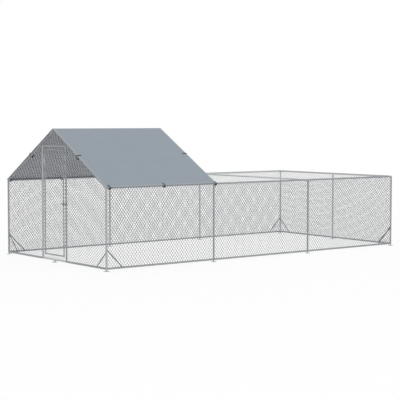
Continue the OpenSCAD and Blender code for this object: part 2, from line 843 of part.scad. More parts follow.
module gable_wire_over_door() {
    y = post_y - panel_gap / 2;
    low = head_z - wire_lap;
    gable_sheet([[-y, low], [y, low], [y, gable_edge_z(y)], [0, gable_edge_z(0)],
                 [-y, gable_edge_z(y)]]);
}

module roof_wire_near() { roof_panel(-1); }
module roof_wire_back() { roof_panel(1); }

module roof_cover() {
    color(cover_blue_grey)
        difference() {
            translate([xs[0] - gable_overhang, 0, 0])
                rotate([90, 0, 90])
                    linear_extrude(bay_l + 2 * gable_overhang)
                        polygon(concat(cover_path(cover_in + cover_t),
                                       backwards(cover_path(cover_in))));
            for (s = sides)
                for (p = eyelet_places(s))
                    translate(p)
                        rotate([-s * pitch, 0, 0])
                            translate([0, 0, -cover_in])
                                cylinder(h = 2 * cover_in,
                                         r = eyelet_d / 2 + eyelet_wall + plug_gap);
        }
}

module cover_eyelets() {
    color(zinc)
        for (s = sides)
            for (p = eyelet_places(s)) eyelet(p, s);
}

module tie_loops() {
    color(black)
        for (s = sides) {
            for (x = tie_xs)
                closed_cord(eave_loop(s, x), [1, 0, 0]);
            for (way = ways_out)
                closed_cord(gable_loop(s, way), [0, -s * cos(pitch), sin(pitch)]);
        }
}

module tie_balls() {
    color(black)
        for (s = sides) {
            for (x = tie_xs)
                tie_ball(slope_point(s, x, -eave_ball_out, eave_ball_up), s);
            for (way = ways_out)
                tie_ball(slope_point(s, gable_tie_x(way) - way * gable_ball_in, gable_v,
                                     -gable_ball_down), s, turn = 90);
        }
}

module hinge_post_leaves() {
    color(zinc)
        for (i = [0, 1]) post_leaf(hinge_zs[i], post_fitting_screws[i]);
}

module hinge_pins() {
    color(zinc)
        for (z = hinge_zs)
            translate([gable_x, hinge_y, z - hinge_h / 2]) {
                cylinder(h = hinge_h + seat_gap, d = pin_d);
                translate([0, 0, hinge_h + seat_gap])
                    cylinder(h = pin_head_h, d = pin_head_d);
            }
}

module latch_keeper() {
    color(dark_steel)
        difference() {
            collar_fitting(-post_y, latch_height, latch_collar_h, tube_r + plug_gap,
                           post_fitting_screws[2])
                barrel(keeper_y - keeper_length, keeper_length, -post_y);
            bolt_bore(keeper_gap);
        }
}

module door_stiles() {
    color(galvanised)
        for (s = sides) stile(s);
}

module door_rails() {
    color(galvanised)
        for (z = [door_bottom, door_top]) door_rail(z);
}

module door_wire() {
    collar_room = 2 * (stile_collar_r + notch_gap);
    color(wire_grey)
        translate([gable_x - door_r - wire_stand - wire_t, 0, 0])
            rotate([90, 0, 90])
                wire_panel(rectangle(-stile_y, door_bottom - wire_lap,
                                     stile_y, door_top + wire_lap), turned = true) {
                    for (z = hinge_zs)
                        upright_notch(stile_y, z - hinge_h / 2, z + hinge_h / 2, collar_room);
                    upright_notch(-stile_y, latch_height - latch_collar_h / 2 - notch_gap,
                                  latch_height + latch_collar_h / 2 + notch_gap, collar_room);
                }
}

module hinge_door_leaves() {
    color(zinc)
        for (i = [0, 1]) door_leaf(hinge_zs[i], stile_screws[i]);
}

module latch_bracket() {
    color(dark_steel)
        difference() {
            collar_fitting(-stile_y, latch_height, latch_collar_h, door_r + plug_gap,
                           stile_screws[2])
                barrel(barrel_end_y - barrel_length, barrel_length, -stile_y);
            bolt_bore(bolt_gap);
        }
}

module door_screws() {
    color(zinc)
        for (s = stile_screws) screw(s);
}

module latch_bolt() {
    color(zinc)
        translate([bolt_x, 0, latch_height]) {
            translate([0, bolt_tip_y, 0])
                rotate([-90, 0, 0])
                    cylinder(h = bolt_end_y - bolt_tip_y, d = bolt_d);
            translate([0, handle_y, -handle_length])
                cylinder(h = handle_length, d = handle_d);
            translate([0, handle_y, -handle_length])
                sphere(d = knob_d);
        }
}

base_rails_near();
base_rails_back();
base_rails_far_end();
base_rails_door_end();
corner_post_door_near();
corner_post_door_back();
corner_post_far_near();
corner_post_far_back();
side_posts_near();
side_posts_back();
end_post_far();
door_post_hinge_side();
door_post_latch_side();
door_head_tube();
top_rails_near();
top_rails_back();
top_rails_far_end();
open_run_tie();
house_tie();
door_gable_rafters();
inner_gable_rafters();
ridge_tube();
base_corner_hubs();
base_tee_hubs();
top_side_hubs();
top_end_hubs();
door_eave_hubs();
inner_eave_hubs();
ridge_hubs();
foot_plates();
corner_braces();
frame_screws();
near_wire_1();
near_wire_2();
near_wire_3();
back_wire_1();
back_wire_2();
back_wire_3();
far_wire_near();
far_wire_back();
gable_wire_near();
gable_wire_back();
gable_wire_over_door();
roof_wire_near();
roof_wire_back();
roof_cover();
cover_eyelets();
tie_loops();
tie_balls();
hinge_post_leaves();
hinge_pins();
latch_keeper();
door_stiles();
door_rails();
door_wire();
hinge_door_leaves();
latch_bracket();
door_screws();
latch_bolt();
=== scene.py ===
"""Looks of the walk-in chicken run: netting, roof cover, tie cords, finishes and studio.

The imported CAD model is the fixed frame. Lengths are in metres, in the frame of the part: the
origin lies on the ground at the middle of the footprint, +X runs from the door gable to the far
end, +Y from the near wall to the back wall, and +Z up.
"""

import json
import logging
import math
from dataclasses import dataclass, field, fields
from enum import Enum
from typing import Any, Iterable, Optional, Sequence

import bpy
import numpy as np
from mathutils import Matrix, Vector, noise

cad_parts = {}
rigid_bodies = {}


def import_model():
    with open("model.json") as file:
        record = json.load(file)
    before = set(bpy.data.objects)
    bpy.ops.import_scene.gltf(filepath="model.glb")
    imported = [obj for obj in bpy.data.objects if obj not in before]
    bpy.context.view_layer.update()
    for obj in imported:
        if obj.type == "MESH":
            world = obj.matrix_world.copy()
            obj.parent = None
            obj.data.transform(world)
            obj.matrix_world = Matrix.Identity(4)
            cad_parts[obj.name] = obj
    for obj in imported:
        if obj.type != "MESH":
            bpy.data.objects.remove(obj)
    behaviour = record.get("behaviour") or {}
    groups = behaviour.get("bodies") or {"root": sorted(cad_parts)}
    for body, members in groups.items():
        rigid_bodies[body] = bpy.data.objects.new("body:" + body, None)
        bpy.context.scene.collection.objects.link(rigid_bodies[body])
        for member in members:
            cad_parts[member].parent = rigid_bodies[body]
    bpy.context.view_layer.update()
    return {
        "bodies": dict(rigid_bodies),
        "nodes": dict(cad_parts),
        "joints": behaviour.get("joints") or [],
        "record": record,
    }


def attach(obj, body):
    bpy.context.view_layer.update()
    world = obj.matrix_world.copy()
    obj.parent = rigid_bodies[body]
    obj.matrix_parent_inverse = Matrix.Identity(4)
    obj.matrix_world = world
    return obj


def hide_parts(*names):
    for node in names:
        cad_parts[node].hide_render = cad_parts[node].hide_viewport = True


LOG = logging.getLogger("chicken_run")

Point2 = tuple[float, float]
Place = tuple[float, float, float]
Colour = tuple[float, float, float]

UPWARDS = Vector((0, 0, 1))
WHITE = (1, 1, 1, 1)
# Noise from 0 to 1 seldom leaves this range.
MIDDLE_OF_NOISE = (0.3, 0.7)


class Lay(Enum):
    """Which way the twisted sides of a net run."""

    UPRIGHT = "upright"
    LEVEL = "level"


class Body(Enum):
    """CAD body that a piece rides on."""

    FRAME = "frame"
    DOOR = "door"


class Element(Enum):
    """Kind of mesh element that is picked."""

    VERTICES = "VERT"
    EDGES = "EDGE"


class Edge(Enum):
    """Edge of the roof cover that a hem is folded along."""

    DOOR_GABLE = "door_gable"
    INNER_GABLE = "inner_gable"
    NEAR_EAVE = "near_eave"
    BACK_EAVE = "back_eave"


def select_only(obj: bpy.types.Object) -> None:
    """Deselect everything, then select one object and make it the active one.

    Args:
        obj: The object that the next operators act on.
    """
    bpy.ops.object.select_all(action="DESELECT")
    obj.select_set(True)
    bpy.context.view_layer.objects.active = obj


def added(name: str) -> bpy.types.Object:
    """Name the object that an operator has just added.

    Args:
        name: Name of the object and of its mesh.

    Returns:
        The object.
    """
    obj = bpy.context.active_object
    obj.name = name
    obj.data.name = name
    return obj


def settle(obj: bpy.types.Object) -> None:
    """Move an object's place, turn and scale into its mesh."""
    select_only(obj)
    bpy.ops.object.transform_apply(location=True, rotation=True, scale=True)


def copied(obj: bpy.types.Object, name: str) -> bpy.types.Object:
    """Copy an object with a mesh of its own.

    Args:
        obj: The object to copy.
        name: Name of the copy.

    Returns:
        The copy, linked into the scene.
    """
    twin = obj.copy()
    twin.data = obj.data.copy()
    twin.name = name
    twin.data.name = name
    bpy.context.scene.collection.objects.link(twin)
    return twin


def joined(pieces: Sequence[bpy.types.Object], name: str) -> bpy.types.Object:
    """Join meshes into the first of them.

    Args:
        pieces: The objects to join.
        name: Name of the joined object.

    Returns:
        The joined object.
    """
    select_only(pieces[0])
    for piece in pieces[1:]:
        piece.select_set(True)
    bpy.ops.object.join()
    return added(name)


def apply_modifier(obj: bpy.types.Object, modifier: bpy.types.Modifier) -> None:
    """Apply one modifier to its object's mesh."""
    select_only(obj)
    bpy.ops.object.modifier_apply(modifier=modifier.name)


def points_of(obj: bpy.types.Object) -> np.ndarray:
    """Read an object's vertices.

    Args:
        obj: The object to read.

    Returns:
        One row of three coordinates for each vertex.
    """
    flat = np.zeros(len(obj.data.vertices) * 3, np.float32)
    obj.data.vertices.foreach_get("co", flat)
    return flat.reshape(-1, 3).astype(float)


def move_points(obj: bpy.types.Object, points: np.ndarray) -> None:
    """Put an object's vertices at new places."""
    obj.data.vertices.foreach_set("co", points.astype(np.float32).ravel())
    obj.data.update()


def pick(obj: bpy.types.Object, kind: Element, mask: np.ndarray) -> None:
    """Select vertices or edges by a mask and enter edit mode.

    Args:
        obj: The object whose elements are picked.
        kind: Kind of the elements.
        mask: One truth value for each element.
    """
    select_only(obj)
    bpy.ops.object.mode_set(mode="EDIT")
    bpy.ops.mesh.select_mode(type=kind.value)
    bpy.ops.mesh.select_all(action="DESELECT")
    bpy.ops.object.mode_set(mode="OBJECT")
    elements = obj.data.vertices if kind is Element.VERTICES else obj.data.edges
    elements.foreach_set("select", mask.astype(bool))
    bpy.ops.object.mode_set(mode="EDIT")


def write_uv(obj: bpy.types.Object, uv: np.ndarray) -> None:
    """Give each vertex its own place on the piece's flat pattern.

    Args:
        obj: The piece.
        uv: One row of two lengths in metres for each vertex.
    """
    layer = obj.data.uv_layers.active or obj.data.uv_layers.new(name="pattern")
    corners = np.zeros(len(obj.data.loops), np.int32)
    obj.data.loops.foreach_get("vertex_index", corners)
    layer.data.foreach_set("uv", uv[corners].astype(np.float32).ravel())


def dress(obj: bpy.types.Object, material: bpy.types.Material) -> None:
    """Give every face of a new piece one material."""
    obj.data.materials.clear()
    obj.data.materials.append(material)


@dataclass(frozen=True)
class RunSizes:
    """Main sizes of the run, as its CAD source has them."""

    half_length: float = 2.8375
    half_width: float = 1.3875
    bays: int = 3
    base_height: float = 0.038
    eave_height: float = 1.157
    ridge_height: float = 1.953
    post_y: float = 0.331
    head_height: float = 1.71911
    stile_y: float = 0.2625
    door_bottom: float = 0.110
    door_top: float = 1.65711
    hinge_heights: tuple[float, float] = (0.358, 1.49311)
    latch_height: float = 0.878
    eave_tie_xs: tuple[float, float, float] = (-2.7925, -1.859167, -0.925833)
    gable_tie_share: float = 0.52
    tie_inset: float = 0.042
    door_overhang: float = 0.018
    inner_overhang: float = 0.032

    @property
    def bay_lines(self) -> list[float]:
        """X of the posts along a long wall."""
        bay = 2 * self.half_length / self.bays
        return [i * bay - self.half_length for i in range(self.bays + 1)]

    @property
    def pitch(self) -> float:
        """Slope of the roof."""
        return math.atan2(self.ridge_height - self.eave_height, self.half_width)

    @property
    def slope_length(self) -> float:
        """Distance from an eave rail's axis to the ridge tube's."""
        return math.hypot(self.ridge_height - self.eave_height, self.half_width)

    def rafter_height(self, y: float) -> float:
        """Height of the rafter axes at a distance from the middle."""
        return self.ridge_height - abs(y) * math.tan(self.pitch)


class Shading:
    """Node tree of a material or world, with short names for the nodes that are used here."""

    def __init__(self, owner: bpy.types.Material | bpy.types.World,
                 output: str = "ShaderNodeOutputMaterial") -> None:
        """Start an empty tree with its output.

        Args:
            owner: The material or world.
            output: Type of its output node.
        """
        owner.use_nodes = True
        self.owner = owner
        self.tree = owner.node_tree
        self.tree.nodes.clear()
        self.output = self.tree.nodes.new(output)

    def fill(self, socket: bpy.types.NodeSocket, value: Any) -> None:
        """Set an input, or link it where the value is another node's socket.

        Args:
            socket: The input.
            value: The value or socket.
        """
        if isinstance(value, bpy.types.NodeSocket):
            self.tree.links.new(value, socket)
        else:
            socket.default_value = value

    def node(self, kind: str, **sockets: Any) -> bpy.types.Node:
        """Add a node and fill its sockets.

        Args:
            kind: The node's type.
            **sockets: Values or other nodes' sockets, by input name with _ for a space.

        Returns:
            The node.
        """
        node = self.tree.nodes.new(kind)
        for name, value in sockets.items():
            self.fill(node.inputs[name.replace("_", " ")], value)
        return node

    def place(self, scale: Place = (1, 1, 1), by_uv: bool = False) -> bpy.types.NodeSocket:
        """Coordinates of the piece itself.

        Args:
            scale: Stretch of the pattern along each axis.
            by_uv: Whether the pattern follows the surface.

        Returns:
            The scaled coordinates.
        """
        source = self.node("ShaderNodeTexCoord")
        vector = source.outputs["UV" if by_uv else "Object"]
        return self.node("ShaderNodeMapping", Vector=vector, Scale=scale).outputs["Vector"]

    def grain(self, vector: bpy.types.NodeSocket, scale: float,
              detail: float = 2.0) -> bpy.types.NodeSocket:
        """Even noise.

        Args:
            vector: Where the noise is read.
            scale: Grains in a metre.
            detail: Octaves of the noise.

        Returns:
            The noise, from 0 to 1.
        """
        return self.node("ShaderNodeTexNoise", Vector=vector, Scale=scale,
                         Detail=detail).outputs["Fac"]

    def spangle(self, vector: bpy.types.NodeSocket, scale: float) -> bpy.types.NodeSocket:
        """Flat crystals, as zinc grows them.

        Args:
            vector: Where the crystals are read.
            scale: Crystals in a metre.

        Returns:
            A random colour for each crystal.
        """
        return self.node("ShaderNodeTexVoronoi", Vector=vector, Scale=scale).outputs["Color"]

    def span(self, value: bpy.types.NodeSocket, low: float, high: float,
             start: float = 0.0, end: float = 1.0) -> bpy.types.NodeSocket:
        """Map a value between two ends.

        Args:
            value: The value.
            low: Result at the start.
            high: Result at the end.
            start: Value that gives low.
            end: Value that gives high.

        Returns:
            The mapped value.
        """
        return self.node("ShaderNodeMapRange", Value=value, From_Min=start, From_Max=end,
                         To_Min=low, To_Max=high).outputs["Result"]

    def tint(self, value: bpy.types.NodeSocket, dark: Colour,
             light: Colour) -> bpy.types.NodeSocket:
        """Colour that runs from dark to light.

        Args:
            value: Share from 0 to 1.
            dark: Colour at 0.
            light: Colour at 1.

        Returns:
            The colour.
        """
        ramp = self.node("ShaderNodeValToRGB", Fac=value)
        ramp.color_ramp.elements[0].color = (*dark, 1)
        ramp.color_ramp.elements[1].color = (*light, 1)
        return ramp.outputs["Color"]

    def bump(self, height: bpy.types.NodeSocket, strength: float,
             depth: float = 0.0003) -> bpy.types.NodeSocket:
        """Relief of a surface.

        Args:
            height: Height from 0 to 1.
            strength: How strongly it shows.
            depth: Depth of the relief.

        Returns:
            The bent normal.
        """
        return self.node("ShaderNodeBump", Height=height, Strength=strength,
                         Distance=depth).outputs["Normal"]

    def maths(self, operation: str, a: Any, b: Any = 0.0) -> bpy.types.NodeSocket:
        """Sum, product, comparison or the like of two values.

        Args:
            operation: Name of the operation.
            a: First value or socket.
            b: Second value or socket.

        Returns:
            The result.
        """
        node = self.tree.nodes.new("ShaderNodeMath")
        node.operation = operation
        for socket, value in zip(node.inputs, (a, b)):
            self.fill(socket, value)
        return node.outputs["Value"]

    def mixed(self, share: bpy.types.NodeSocket, first: bpy.types.Node,
              second: bpy.types.Node) -> bpy.types.Node:
        """Mix two shaders.

        Args:
            share: Share of the second one.
            first: Shader at a share of 0.
            second: Shader at a share of 1.

        Returns:
            The mixed shader.
        """
        mix = self.node("ShaderNodeMixShader", Fac=share)
        for socket, shader in zip(mix.inputs[1:], (first, second)):
            self.fill(socket, shader.outputs[0])
        return mix

    def finish(self, shader: bpy.types.Node) -> Any:
        """Join a shader to the output.

        Args:
            shader: The last shader.

        Returns:
            The material or world.
        """
        self.fill(self.output.inputs["Surface"], shader.outputs[0])
        return self.owner

    def surface(self, **sockets: Any) -> bpy.types.Material:
        """Finish the tree with one surface shader.

        Args:
            **sockets: Values or other nodes' sockets, by input name with _ for a space.

        Returns:
            The material.
        """
        return self.finish(self.node("ShaderNodeBsdfPrincipled", **sockets))


def shade(colour: Colour, share: float) -> Colour:
    """A colour made lighter or darker by a share."""
    return tuple(min(1.0, c * share) for c in colour)


@dataclass(frozen=True)
class ZincFinish:
    """Zinc on steel: flat crystals, a cloudy tone and a dull grain."""

    name: str
    colour: Colour
    spread: float = 0.12
    roughness: Point2 = (0.34, 0.52)
    crystals: float = 110.0
    crystal_share: float = 0.45
    metallic: float = 0.85
    clouds: float = 9.0
    cloud_detail: float = 4.0
    grains: float = 900.0
    grain_strength: float = 0.12

    def material(self) -> bpy.types.Material:
        """Build the finish.

        Returns:
            Its material.
        """
        s = Shading(bpy.data.materials.new(self.name))
        where = s.place()
        crystal = s.spangle(where, self.crystals)
        cloud = s.grain(where, self.clouds, self.cloud_detail)
        tone = s.maths("ADD", s.maths("MULTIPLY", crystal, self.crystal_share),
                       s.maths("MULTIPLY", cloud, 1 - self.crystal_share))
        colour = s.tint(tone, shade(self.colour, 1 - self.spread),
                        shade(self.colour, 1 + self.spread))
        rough = s.span(cloud, *self.roughness, *MIDDLE_OF_NOISE)
        relief = s.bump(s.grain(where, self.grains), self.grain_strength)
        return s.surface(Base_Color=colour, Roughness=rough, Metallic=self.metallic,
                         Normal=relief)


@dataclass(frozen=True)
class PaintFinish:
    """Dark coat on steel, with a fine peel and rubbed, lighter patches."""

    name: str
    colour: Colour
    roughness: Point2 = (0.42, 0.6)
    metallic: float = 0.3
    patches: float = 30.0
    patch_detail: float = 5.0
    patch_range: Point2 = (0.45, 0.8)
    patch_gain: float = 1.5
    peel: float = 600.0
    peel_strength: float = 0.15

    def material(self) -> bpy.types.Material:
        """Build the finish.

        Returns:
            Its material.
        """
        s = Shading(bpy.data.materials.new(self.name))
        where = s.place()
        patch = s.grain(where, self.patches, self.patch_detail)
        rubbed = s.span(patch, 0.0, 1.0, *self.patch_range)
        colour = s.tint(rubbed, self.colour, shade(self.colour, self.patch_gain))
        rough = s.span(rubbed, *self.roughness)
        relief = s.bump(s.grain(where, self.peel), self.peel_strength)
        return s.surface(Base_Color=colour, Roughness=rough, Metallic=self.metallic,
                         Normal=relief)


@dataclass(frozen=True)
class MouldedFinish:
    """Black moulded plastic or rubber, with a fine pebble and a little dust."""

    name: str
    colour: Colour
    roughness: Point2 = (0.35, 0.5)
    pebble: float = 1400.0
    pebble_strength: float = 0.15
    specks: float = 60.0
    speck_detail: float = 4.0
    speck_gain: float = 2.0

    def material(self) -> bpy.types.Material:
        """Build the finish.

        Returns:
            Its material.
        """
        s = Shading(bpy.data.materials.new(self.name))
        where = s.place()
        dust = s.grain(where, self.specks, self.speck_detail)
        colour = s.tint(dust, self.colour, shade(self.colour, self.speck_gain))
        rough = s.span(dust, *self.roughness)
        relief = s.bump(s.grain(where, self.pebble), self.pebble_strength)
        return s.surface(Base_Color=colour, Roughness=rough, Normal=relief)


@dataclass(frozen=True)
class ClothFinish:
    """Coated woven cloth: threads both ways, soft mottling and a row of stitches if hemmed."""

    name: str
    colour: Colour
    roughness: Point2 = (0.55, 0.7)
    sheen: float = 0.05
    sheen_roughness: float = 0.5
    gloss: float = 0.2
    mottling: float = 4.0
    mottling_stretch: Place = (1.0, 0.6, 1.0)
    mottling_detail: float = 6.0
    mottling_spread: float = 0.07
    threads: float = 420.0
    thread_wander: float = 0.4
    weave_strength: float = 0.25
    weave_depth: float = 0.0004
    stitch_pitch: Optional[float] = None
    stitch_gap_share: float = 0.25
    stitch_inset: float = 0.004
    stitch_half_width: float = 0.0007

    def material(self) -> bpy.types.Material:
        """Build the finish.

        Returns:
            Its material.
        """
        s = Shading(bpy.data.materials.new(self.name))
        flat = s.place(by_uv=True)
        mottle = s.grain(s.place(self.mottling_stretch, by_uv=True), self.mottling,
                         self.mottling_detail)
        colour = s.tint(mottle, shade(self.colour, 1 - self.mottling_spread),
                        shade(self.colour, 1 + self.mottling_spread))
        relief = s.maths("MULTIPLY", self.thread(s, flat, "X"), self.thread(s, flat, "Y"))
        if self.stitch_pitch:
            relief = s.maths("ADD", relief, self.stitches(s, flat))
        rough = s.span(mottle, *self.roughness, *MIDDLE_OF_NOISE)
        return s.surface(Base_Color=colour, Roughness=rough, Sheen_Weight=self.sheen,
                         Sheen_Roughness=self.sheen_roughness, Specular_IOR_Level=self.gloss,
                         Normal=s.bump(relief, self.weave_strength, self.weave_depth))

    def thread(self, s: Shading, flat: bpy.types.NodeSocket, way: str) -> bpy.types.NodeSocket:
        """Rows of threads one way.

        Args:
            s: The material's tree.
            flat: Place on the cloth.
            way: Axis that the rows cross.

        Returns:
            Height of the threads.
        """
        wave = s.node("ShaderNodeTexWave", Vector=flat, Scale=self.threads,
                      Distortion=self.thread_wander)
        wave.bands_direction = way
        return wave.outputs["Fac"]

    def stitches(self, s: Shading, flat: bpy.types.NodeSocket) -> bpy.types.NodeSocket:
        """A dashed row of sewing along the hem.

        Args:
            s: The material's tree.
            flat: Place on the hem, along it and across it.

        Returns:
            Height of the stitches.
        """
        parts = s.node("ShaderNodeSeparateXYZ", Vector=flat)
        dash = s.maths("GREATER_THAN",
                       s.maths("PINGPONG", parts.outputs["X"], self.stitch_pitch / 2),
                       self.stitch_pitch * self.stitch_gap_share / 2)
        aside = s.maths("SUBTRACT", parts.outputs["Y"], self.stitch_inset)
        row = s.maths("LESS_THAN", s.maths("ABSOLUTE", aside), self.stitch_half_width)
        return s.maths("MULTIPLY", dash, row)


@dataclass(frozen=True)
class Finishes:
    """One finish for each material slot of the record, and two more for the cover.

    Scales of their patterns are counts in a metre, and depths are in metres.
    """

    tube: ZincFinish = ZincFinish("galvanised_tube", (0.48, 0.495, 0.51))
    fitting: ZincFinish = ZincFinish("zinc_fitting", (0.50, 0.515, 0.53), crystals=260.0)
    eyelet: ZincFinish = ZincFinish("eyelet_metal", (0.50, 0.51, 0.52), crystals=500.0)
    wire: ZincFinish = ZincFinish("netting_wire", (0.061, 0.076, 0.099), spread=0.2,
                                  roughness=(0.42, 0.6), crystals=300.0, metallic=0.7)
    dark: PaintFinish = PaintFinish("dark_fitting", (0.20, 0.212, 0.226))
    ball: MouldedFinish = MouldedFinish("tie_ball", (0.004, 0.004, 0.0045), (0.5, 0.65))
    cord: MouldedFinish = MouldedFinish("elastic_cord", (0.006, 0.006, 0.0065), (0.7, 0.85),
                                        pebble=800.0, pebble_strength=0.6)
    cloth: ClothFinish = ClothFinish("cover_cloth", (0.305, 0.352, 0.397))
    # Inner face of the cover: a grey of its own, painted lighter to stand in for the light under
    # the roof.
    lining: ClothFinish = ClothFinish("cover_inner_grey_with_painted_light", (0.56, 0.57, 0.585))
    # The hem is painted lighter than the cloth: a painted highlight along the cover's edges.
    hem: ClothFinish = ClothFinish("cover_hem_painted_highlight", (0.36, 0.395, 0.42), stitch_pitch=0.008)


class Wardrobe:
    """Materials of the finishes, each built once."""

    def __init__(self, finishes: Finishes) -> None:
        """Build every material.

        Args:
            finishes: The finishes of this object.
        """
        parts = [getattr(finishes, part.name) for part in fields(finishes)]
        self.materials = {part.name: part.material() for part in parts}

    def __getitem__(self, name: str) -> bpy.types.Material:
        """Material of a slot."""
        return self.materials[name]

    def dress_frame(self, frame: dict[str, Any]) -> None:
        """Give each CAD node the finish of its slot.
        """
        for row in frame["record"]["subparts"]:
            node = frame["nodes"][row["node"]]
            if not node.material_slots:
                node.data.materials.append(self[row["material_slot"]])
            for slot in node.material_slots:
                slot.material = self[row["material_slot"]]


@dataclass(frozen=True)
class Hole:
    """Cut-out of a net, where a tie or a collar passes: its middle on the net and half sizes."""

    middle: Point2
    half: Point2

    def holds(self, points: np.ndarray) -> np.ndarray:
        """Which points lie in the hole.

        Args:
            points: Rows of places on the net.

        Returns:
            One truth value for each point.
        """
        off = np.abs(points[:, :2] - np.array(self.middle))
        return (off < np.array(self.half)).all(axis=1)


@dataclass
class NetWeave:
    """Repeat of the hexagonal netting: two rows of a twisted side and its two slanted wires."""

    cell_width: float = 0.045
    row_height: float = 0.030
    wire_width: float = 0.0035
    twist_width: float = 0.0086
    thickness: float = 0.0020
    wire_sides: int = 4
    twist_steps: int = 3
    twist_turn: float = math.radians(50)

    @property
    def twist_length(self) -> float:
        """Length of a twisted side."""
        return self.row_height / 2

    def twisted_side(self) -> bpy.types.Object:
        """Two wires wound round each other, as one turned bar along +Y with its facets kept.

        Returns:
            The twisted side.
        """
        bpy.ops.object.select_all(action="DESELECT")
        bpy.ops.mesh.primitive_circle_add(vertices=self.wire_sides, radius=self.twist_width / 2,
                                          fill_type="NGON")
        twist = added("twisted_side")
        bpy.ops.object.mode_set(mode="EDIT")
        step = self.twist_length / self.twist_steps
        for i in range(self.twist_steps):
            bpy.ops.mesh.extrude_region_move(TRANSFORM_OT_translate={"value": (0, 0, step)})
            bpy.ops.transform.rotate(value=self.twist_turn, orient_axis="Z",
                                     center_override=(0, 0, step * (i + 1)))
        bpy.ops.mesh.select_all(action="SELECT")
        bpy.ops.mesh.normals_make_consistent(inside=False)
        bpy.ops.object.mode_set(mode="OBJECT")
        twist.rotation_euler = (-math.pi / 2, 0, 0)
        settle(twist)
        return twist

    def slanted_wire(self, side: int) -> bpy.types.Object:
        """Single wire from the top of a twist to the foot of its neighbour in the next row.

        Args:
            side: -1 for the left neighbour, 1 for the right one.

        Returns:
            The wire.
        """
        foot = Vector((0, self.twist_length, 0))
        head = Vector((side * self.cell_width / 2, self.row_height, 0))
        return bar("slanted_wire", foot, head, self.wire_width / 2, self.wire_sides)

    def repeat(self) -> bpy.types.Object:
        """Model the repeat in the XY plane, with its twists along Y.

        Returns:
            The repeat, one cell wide and two rows high.
        """
        row = joined([self.twisted_side(), self.slanted_wire(-1), self.slanted_wire(1)],
                     "net_row")
        row.scale = (1, 1, self.thickness / self.wire_width)
        settle(row)
        shifted = copied(row, "net_row_shifted")
        shifted.location = (self.cell_width / 2, self.row_height, 0)
        settle(shifted)
        return joined([row, shifted], "net_repeat")


def bar(name: str, start: Vector, end: Vector, radius: float, sides: int) -> bpy.types.Object:
    """Straight wire between two points.

    Args:
        name: Name of the wire.
        start: First end.
        end: Last end.
        radius: Radius over the corners.
        sides: Sides of the wire.

    Returns:
        The wire, with its place in its mesh.
    """
    way = end - start
    bpy.ops.object.select_all(action="DESELECT")
    bpy.ops.mesh.primitive_cylinder_add(vertices=sides, radius=radius, depth=way.length,
                                        location=(start + end) / 2,
                                        rotation=way.to_track_quat("Z", "Y").to_euler())
    wire = added(name)
    settle(wire)
    bpy.ops.object.shade_smooth()
    return wire


def box_outline(u0: float, v0: float, u1: float, v1: float) -> list[Point2]:
    """Corners of a rectangle, counter-clockwise."""
    return [(u0, v0), (u1, v0), (u1, v1), (u0, v1)]


def sides_of(outline: list[Point2]) -> Iterable[tuple[Point2, Point2]]:
    """Both ends of each side, once round an outline."""
    return zip(outline, outline[1:] + outline[:1])


